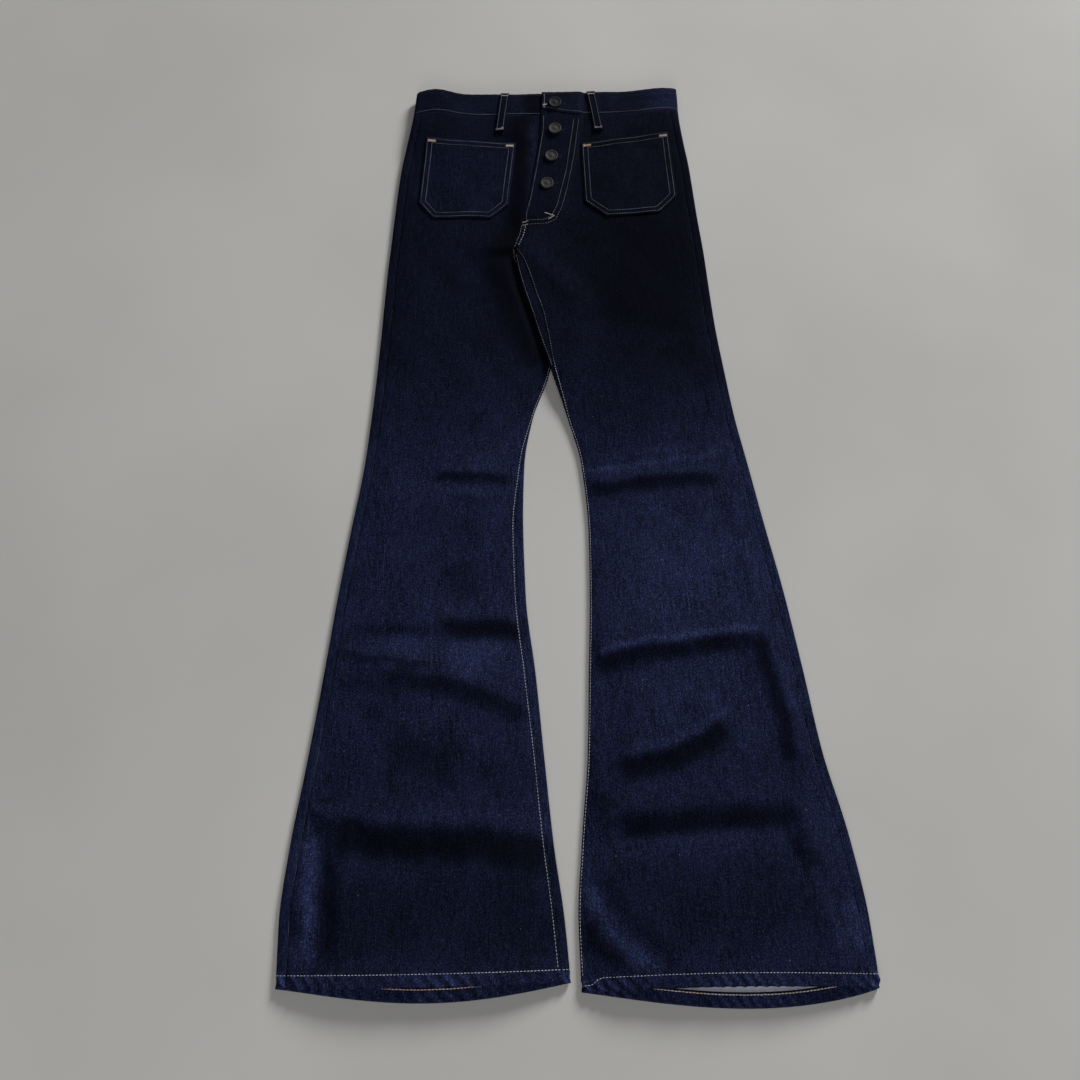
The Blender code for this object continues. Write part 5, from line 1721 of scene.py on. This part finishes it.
# %% Write node trees as expressions
class Channel:
    """One output of a node, which can be used in arithmetic."""

    def __init__(self, finish, output):
        self.finish, self.output = finish, output

    def calc(self, operation, *inputs):
        return self.finish.node("ShaderNodeMath", {"operation": operation}, dict(enumerate(inputs)))

    def __add__(self, other):
        return self.calc("ADD", self, other)

    def __sub__(self, other):
        return self.calc("SUBTRACT", self, other)

    def __rsub__(self, other):
        return self.calc("SUBTRACT", other, self)

    def __mul__(self, other):
        return self.calc("MULTIPLY", self, other)

    __radd__, __rmul__ = __add__, __mul__

    def sine(self):
        return self.calc("SINE", self)

    def between(self, low, high):
        """0 below low, 1 above high, and a smooth rise from one to the other."""
        return self.finish.node("ShaderNodeMapRange", {"interpolation_type": "SMOOTHSTEP"},
                                {"Value": self, "From Min": low, "From Max": high})


# %% Add nodes to a material
class Finish:
    """A material whose nodes are added one call at a time."""

    def __init__(self, material):
        self.material = material
        material.use_nodes = True
        self.tree = material.node_tree
        self.tree.nodes.clear()

    def node(self, kind, settings=None, sockets=None, output=0):
        made = self.tree.nodes.new(kind)
        for name, value in (settings or {}).items():
            setattr(made, name, value)
        for name, value in (sockets or {}).items():
            if isinstance(value, Channel):
                self.tree.links.new(value.output, made.inputs[name])
            else:
                made.inputs[name].default_value = value
        return Channel(self, made.outputs[output]) if made.outputs else None

    def place(self):
        """The place on the piece itself, in metres: the Object output of the coordinates."""
        return self.node("ShaderNodeTexCoord", output=3)

    def axes(self, place):
        """The X and the Y of a place."""
        parts = self.node("ShaderNodeSeparateXYZ", {}, {"Vector": place})
        return parts, Channel(self, parts.output.node.outputs[1])

    def stretched(self, place, scale):
        return self.node("ShaderNodeVectorMath", {"operation": "MULTIPLY"}, {0: place, 1: scale})

    def scaled(self, colour, amount):
        return self.node("ShaderNodeVectorMath", {"operation": "SCALE"}, {0: colour, "Scale": amount})

    def noise(self, place, scale, detail=2.0, roughness=0.5):
        return self.node("ShaderNodeTexNoise", {}, {"Vector": place, "Scale": scale, "Detail": detail,
                                                    "Roughness": roughness})

    def blend(self, first, second, share):
        """A mix of two colours, whose sockets are the node's inputs 6 and 7."""
        return self.node("ShaderNodeMix", {"data_type": "RGBA"}, {0: share, 6: first, 7: second}, output=2)

    def shade(self, colour, **sockets):
        """Ends the tree in a Principled shader."""
        named = {"Base Color": colour}
        for name, value in sockets.items():
            named[name.replace("_", " ").title().replace("Ior", "IOR")] = value
        shader = self.node("ShaderNodeBsdfPrincipled", {}, named)
        self.node("ShaderNodeOutputMaterial", {}, {"Surface": shader})

    def bump(self, height, strength, distance):
        return self.node("ShaderNodeBump", {}, {"Height": height, "Strength": strength, "Distance": distance})


# %% Turn screen colours into light
def linear(value):
    """A screen value from 0 to 1 as the amount of light it stands for."""
    return value / 12.92 if value < 0.0404 else ((value + 0.055) / 1.055) ** 2.4


def rgb(red, green, blue):
    """A colour given in screen values from 0 to 255, as a shader's colour."""
    return tuple(linear(value / 255.0) for value in (red, green, blue)) + (1.0,)


print("half of a screen's white is", round(linear(0.5), 3), "of its light")

# %% [markdown]
# ## Raw indigo denim
# Denim is a twill: indigo warp yarns pass over two or three pale weft yarns and under one, so pale
# points show through in diagonal lines. The warp yarns are uneven, which gives long dark and light
# streaks down the cloth. An image of denim would repeat and blur, so the weave is made from waves and
# noise measured in real millimetres. The cloth of each piece gets its own grain direction.

# %% Weave the denim
WALE_PITCH = 0.00095
YARN_PITCH = 0.00045
INDIGO_DARK = rgb(6, 7, 12)
INDIGO = rgb(31, 37, 67)
INDIGO_WORN = rgb(66, 79, 128)
WEFT = rgb(100, 112, 152)
NEP = rgb(150, 158, 180)
WALE_SLANT = (0.87, 0.5)
Pattern = namedtuple("Pattern", "fineness detail roughness")
# fineness is how many waves there are in a metre across the cloth, along it and through it
PATTERNS = {
    "streaks": Pattern((700.0, 60.0, 300.0), 2.0, 0.6),
    "weft": Pattern((160.0, 700.0, 300.0), 2.0, 0.6),
    "fleck": Pattern((900.0, 560.0, 800.0), 2.0, 0.7),
    "slub": Pattern((620.0, 16.0, 90.0), 1.0, 0.4),
    "cloud": Pattern((26.0, 15.0, 20.0), 4.0, 0.6),
}
NEP_FINENESS = (58.0, 30.0, 40.0)
Weave = namedtuple("Weave", ["place", "wale", "yarn"] + list(PATTERNS))


def weave(finish, turn):
    """The patterns of the cloth, each about 0 to 1, for a grain turned by this angle."""
    place = finish.node("ShaderNodeVectorRotate", {"rotation_type": "Z_AXIS"},
                        {"Vector": finish.place(), "Angle": turn})
    x, y = finish.axes(place)
    drift = finish.noise(place, 260.0, 1.0) * 1.6
    slanted = x * WALE_SLANT[0] - y * WALE_SLANT[1]
    wale = (slanted * (2.0 * math.pi / WALE_PITCH) + drift).sine() * 0.5 + 0.5
    yarn = (x * (2.0 * math.pi / YARN_PITCH) + drift).sine() * 0.5 + 0.5
    noises = [finish.noise(finish.stretched(place, pattern.fineness), 1.0, pattern.detail, pattern.roughness)
              for pattern in PATTERNS.values()]
    return Weave(place, wale, yarn, *noises)


def denim_face(material, turn):
    finish = Finish(material)
    place, wale, yarn, streaks, weft, fleck, slub, cloud = weave(finish, turn)
    painted_shading = finish.node("ShaderNodeAttribute", {"attribute_name": "painted_shading"}, {}, output=2)
    dyed = streaks.between(0.3, 0.7) * 0.52 + weft.between(0.3, 0.7) * 0.23 + cloud.between(0.3, 0.7) * 0.25
    warp = finish.blend(INDIGO_DARK, INDIGO, dyed)
    worn = finish.blend(warp, INDIGO_WORN, fleck.between(0.46, 0.8) * (0.25 + dyed * 0.85))
    points = wale.between(0.6, 0.95) * fleck.between(0.42, 0.7) * 0.14 + slub.between(0.72, 0.8) * 0.14
    cloth_colour = finish.blend(worn, WEFT, points)
    sparse = finish.stretched(place, NEP_FINENESS)
    spots = finish.node("ShaderNodeTexVoronoi", {}, {"Vector": sparse, "Scale": 1.0})
    flecked = finish.blend(cloth_colour, NEP, 1.0 - spots.between(0.008, 0.03))
    # painted shade darkens the cloth towards its darkest indigo where the attribute is below zero, and
    # painted light brightens it where it is above
    with_painted_shade = finish.blend(flecked, INDIGO_DARK, painted_shading * -1.0)
    coloured = finish.scaled(with_painted_shade, painted_shading.calc("MAXIMUM", painted_shading, 0.0) * 1.2 + 1.0)
    relief_height = wale * 0.5 + yarn * 0.2 + fleck * 0.6 + slub.between(0.6, 0.8) * 0.4
    finish.shade(coloured, roughness=0.95, specular_ior_level=0.03,
                 normal=finish.bump(relief_height, 0.6, 0.00035))


for grain, turn in GRAIN_TURN.items():
    denim_face(GRAINS[grain], turn)
print("the face of the cloth has", len(GRAINS["upright"].node_tree.nodes), "nodes")

# %% [markdown]
# ## The inside of the cloth
# On the back of a warp-faced twill the undyed weft is on top, so the inside is pale blue-grey with
# indigo points. It shows in the mouths of the legs.

# %% Weave the inside
INSIDE_PALE = rgb(236, 242, 252)
INSIDE_BLUE = rgb(140, 156, 188)


def denim_inside(material):
    finish = Finish(material)
    twill = weave(finish, 0.0)
    points = twill.wale.between(0.4, 0.9) * 0.3 + twill.fleck.between(0.5, 0.75) * 0.4
    finish.shade(finish.blend(INSIDE_PALE, INSIDE_BLUE, points), roughness=0.95, specular_ior_level=0.1,
                 normal=finish.bump(twill.wale * 0.5 + twill.fleck * 0.5, 0.5, 0.0003))


denim_inside(INSIDE_CLOTH)
print("the inside of the cloth has", len(INSIDE_CLOTH.node_tree.nodes), "nodes")

# %% [markdown]
# ## The thread's colours
# The legs are sewn with an undyed cotton and the tacks with a beige one. The rows at the top get the same
# cotton painted darker, as painted shade for the dimmer light there. Each colour drifts a little along its
# row, and a fine slanting wave gives the twist.

# %% Dye the thread
Dye = namedtuple("Dye", "pale deep")
TWIST_PITCH = 0.0007
DYES = {
    THREAD: Dye(rgb(212, 215, 226), rgb(166, 166, 176)),
    # painted shade: the undyed cotton painted darker for the rows at the top
    SHADED_THREAD: Dye(rgb(142, 146, 158), rgb(98, 98, 104)),
    INSIDE_THREAD: Dye(rgb(255, 240, 232), rgb(252, 202, 182)),
    TACK_THREAD: Dye(rgb(226, 214, 206), rgb(196, 160, 136)),
    BROWN_THREAD: Dye(rgb(84, 66, 60), rgb(52, 42, 44)),
    HOLE_THREAD: Dye(rgb(20, 24, 38), rgb(12, 14, 24)),
}


def dyed_thread(material, dye):
    finish = Finish(material)
    place = finish.place()
    drift = finish.noise(place, 60.0, 2.0)
    x, y = finish.axes(place)
    twist = ((x + y) * (2.0 * math.pi / TWIST_PITCH)).sine() * 0.5 + 0.5
    colour = finish.blend(dye.pale, dye.deep, drift.between(0.35, 0.7))
    finish.shade(colour, roughness=0.75, specular_ior_level=0.2, normal=finish.bump(twist, 0.4, 0.0002))


for material, dye in DYES.items():
    dyed_thread(material, dye)
print("threads dyed:", len(DYES))

# %% [markdown]
# ## Antique button metal
# The buttons are plated dark and left dull. Two noises, one coarse and one fine, blend the dark plate with
# the places that are worn to grey. The waist button is nearly black.

# %% Plate the buttons
METAL = bpy.data.materials.new("antique_button_metal")
WAIST_BUTTON_METAL = bpy.data.materials.new("waist_button_metal")
METAL_DARK, METAL_WORN = rgb(42, 42, 41), rgb(78, 77, 74)
WAIST_BUTTON_DARK, WAIST_BUTTON_GREY = rgb(18, 20, 24), rgb(38, 42, 46)


def antique_metal(material, dark, worn):
    finish = Finish(material)
    place = finish.place()
    patina = finish.noise(place, 420.0, 3.0, 0.6)
    wear = finish.noise(place, 1400.0, 2.0, 0.6)
    colour = finish.blend(dark, worn, patina.between(0.35, 0.75) * 0.7 + wear.between(0.5, 0.8) * 0.3)
    finish.shade(colour, metallic=0.25, specular_ior_level=0.3, roughness=patina * 0.25 + 0.55,
                 normal=finish.bump(wear, 0.25, 0.0001))


antique_metal(METAL, METAL_DARK, METAL_WORN)
antique_metal(WAIST_BUTTON_METAL, WAIST_BUTTON_DARK, WAIST_BUTTON_GREY)
for name in BUTTONS:
    pieces[f"shank_button_{name}"].data.materials.append(WAIST_BUTTON_METAL if name == "waist" else METAL)
print("buttons plated:", len(BUTTONS))

# %% [markdown]
# ## Stand each piece for its solid
# Every piece of cloth takes the place of one CAD node, which is hidden, and rides on the model's only body.
# Its row in the table also holds the size of the cut that shows: its length and width when it is flat, its
# area where it isn't a rectangle, and the pieces it rests on.

Cut = namedtuple("Cut", "piece node width length area rests_on")
BACK_LOOPS = ["back_loop_left", "back_loop_centre", "back_loop_right"]
CUTS = [
    Cut("back_left", "back_leg_left", 0.345, 1.085, 0.262, ["back_right"] + BACK_LOOPS[:2]),
    Cut("back_right", "back_leg_right", 0.345, 1.085, 0.252, ["back_loop_right", "back_loop_centre"]),
    Cut("front_left", "front_leg_left", 0.290, 1.075, 0.234, ["back_left", "fly_stand", "front_right"]),
    Cut("front_right", "front_leg_right", 0.290, 1.075, 0.216, ["back_right"]),
    Cut("waistband_strip", "waistband", 0.755, 0.038, None, BACK_LOOPS),
    Cut("fly_stand", "button_stand", 0.029, 0.133, None, ["back_left"]),
    Cut("patch_pocket_left", "pocket_left", 0.121, 0.128, 0.0138, ["front_left"]),
    Cut("patch_pocket_right", "pocket_right", 0.121, 0.128, 0.0138, ["front_right"]),
    Cut("front_loop_left", "belt_loop_front_left", 0.012, 0.066, None, ["waistband_strip", "front_left"]),
    Cut("front_loop_right", "belt_loop_front_right", 0.012, 0.066, None, ["waistband_strip", "front_right"]),
    Cut("back_loop_left", "belt_loop_back_left", 0.012, 0.049, None, []),
    Cut("back_loop_centre", "belt_loop_back_centre", 0.012, 0.049, None, []),
    Cut("back_loop_right", "belt_loop_back_right", 0.012, 0.049, None, []),
]
for cut in CUTS:
    piece = pieces[cut.piece]
    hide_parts(cut.node)
for name in BUTTONS:
    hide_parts(f"button_{name}")
for name, piece in pieces.items():
    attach(piece, "root")
triangles = sum(len(p.vertices) - 2 for piece in pieces.values() for p in piece.data.polygons)
print(len(pieces), "pieces with", triangles, "triangles")

# %% [markdown]
# ## Studio
# The jeans lie on a plain pale floor. A large soft light stands beyond the waist on the wearer's left, so
# the creases across the legs get a light lip and a dark trough. A weaker light overhead and one beyond
# the hems open the shadows.

# %% Lay the floor
FLOOR_SIZE = 6.0
FLOOR_DROP = 0.0002
FLOOR_GREY, FLOOR_PALE = rgb(205, 204, 201), rgb(214, 213, 210)


def studio_floor():
    material = bpy.data.materials.new("studio_floor")
    finish = Finish(material)
    tone = finish.noise(finish.place(), 2.2, 3.0)
    colour = finish.blend(FLOOR_GREY, FLOOR_PALE, tone.between(0.3, 0.7))
    finish.shade(colour, roughness=0.9, specular_ior_level=0.1)
    half = FLOOR_SIZE / 2.0
    mesh = bpy.data.meshes.new("studio_floor")
    corners = [(-half, -half, 0.0), (half, -half, 0.0), (half, half, 0.0), (-half, half, 0.0)]
    mesh.from_pydata(corners, [], [(0, 1, 2, 3)])
    mesh.materials.append(material)
    floor = bpy.data.objects.new("studio_floor", mesh)
    floor.location = (0.0, 0.0, -FLOOR_DROP)
    bpy.context.scene.collection.objects.link(floor)
    floor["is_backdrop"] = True


studio_floor()
print("the floor is", FLOOR_SIZE, "m wide")

# %% Hang the lights
Lamp = namedtuple("Lamp", "name place aim size power")
LAMPS = [
    Lamp("window", (3.2, 4.6, 2.35), (0.0, 0.0, 0.0), 1.8, 350.0),
    Lamp("overhead", (-0.1, -0.4, 2.6), (0.0, -0.2, 0.0), 2.0, 6.0),
    Lamp("far wall", (-0.2, -2.9, 1.5), (0.0, -0.5, 0.0), 1.6, 24.0),
]
WORLD_WHITE = (1.0, 1.0, 1.0, 1.0)
WORLD_STRENGTH = 0.06


def soft_light(lamp):
    light = bpy.data.lights.new(lamp.name, "AREA")
    light.shape, light.size, light.energy = "DISK", lamp.size, lamp.power
    stand = bpy.data.objects.new(lamp.name, light)
    stand.location = lamp.place
    stand.rotation_euler = (Vector(lamp.aim) - Vector(lamp.place)).to_track_quat("-Z", "Y").to_euler()
    bpy.context.scene.collection.objects.link(stand)


for lamp in LAMPS:
    soft_light(lamp)

world_light = bpy.data.worlds.new("studio")
world_light.use_nodes = True
background = world_light.node_tree.nodes["Background"]
background.inputs["Color"].default_value = WORLD_WHITE
background.inputs["Strength"].default_value = WORLD_STRENGTH
bpy.context.scene.world = world_light
bpy.context.scene.view_settings.view_transform = "Standard"
print("lamps:", len(LAMPS))

# %% Compare the sizes
low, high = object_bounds()
past_high = [round((a - b) * 1000, 1) for a, b in zip(high, cad_high)]
past_low = [round((b - a) * 1000, 1) for a, b in zip(low, cad_low)]
print("the cloth reaches past the CAD box by, in mm:", past_high, past_low)
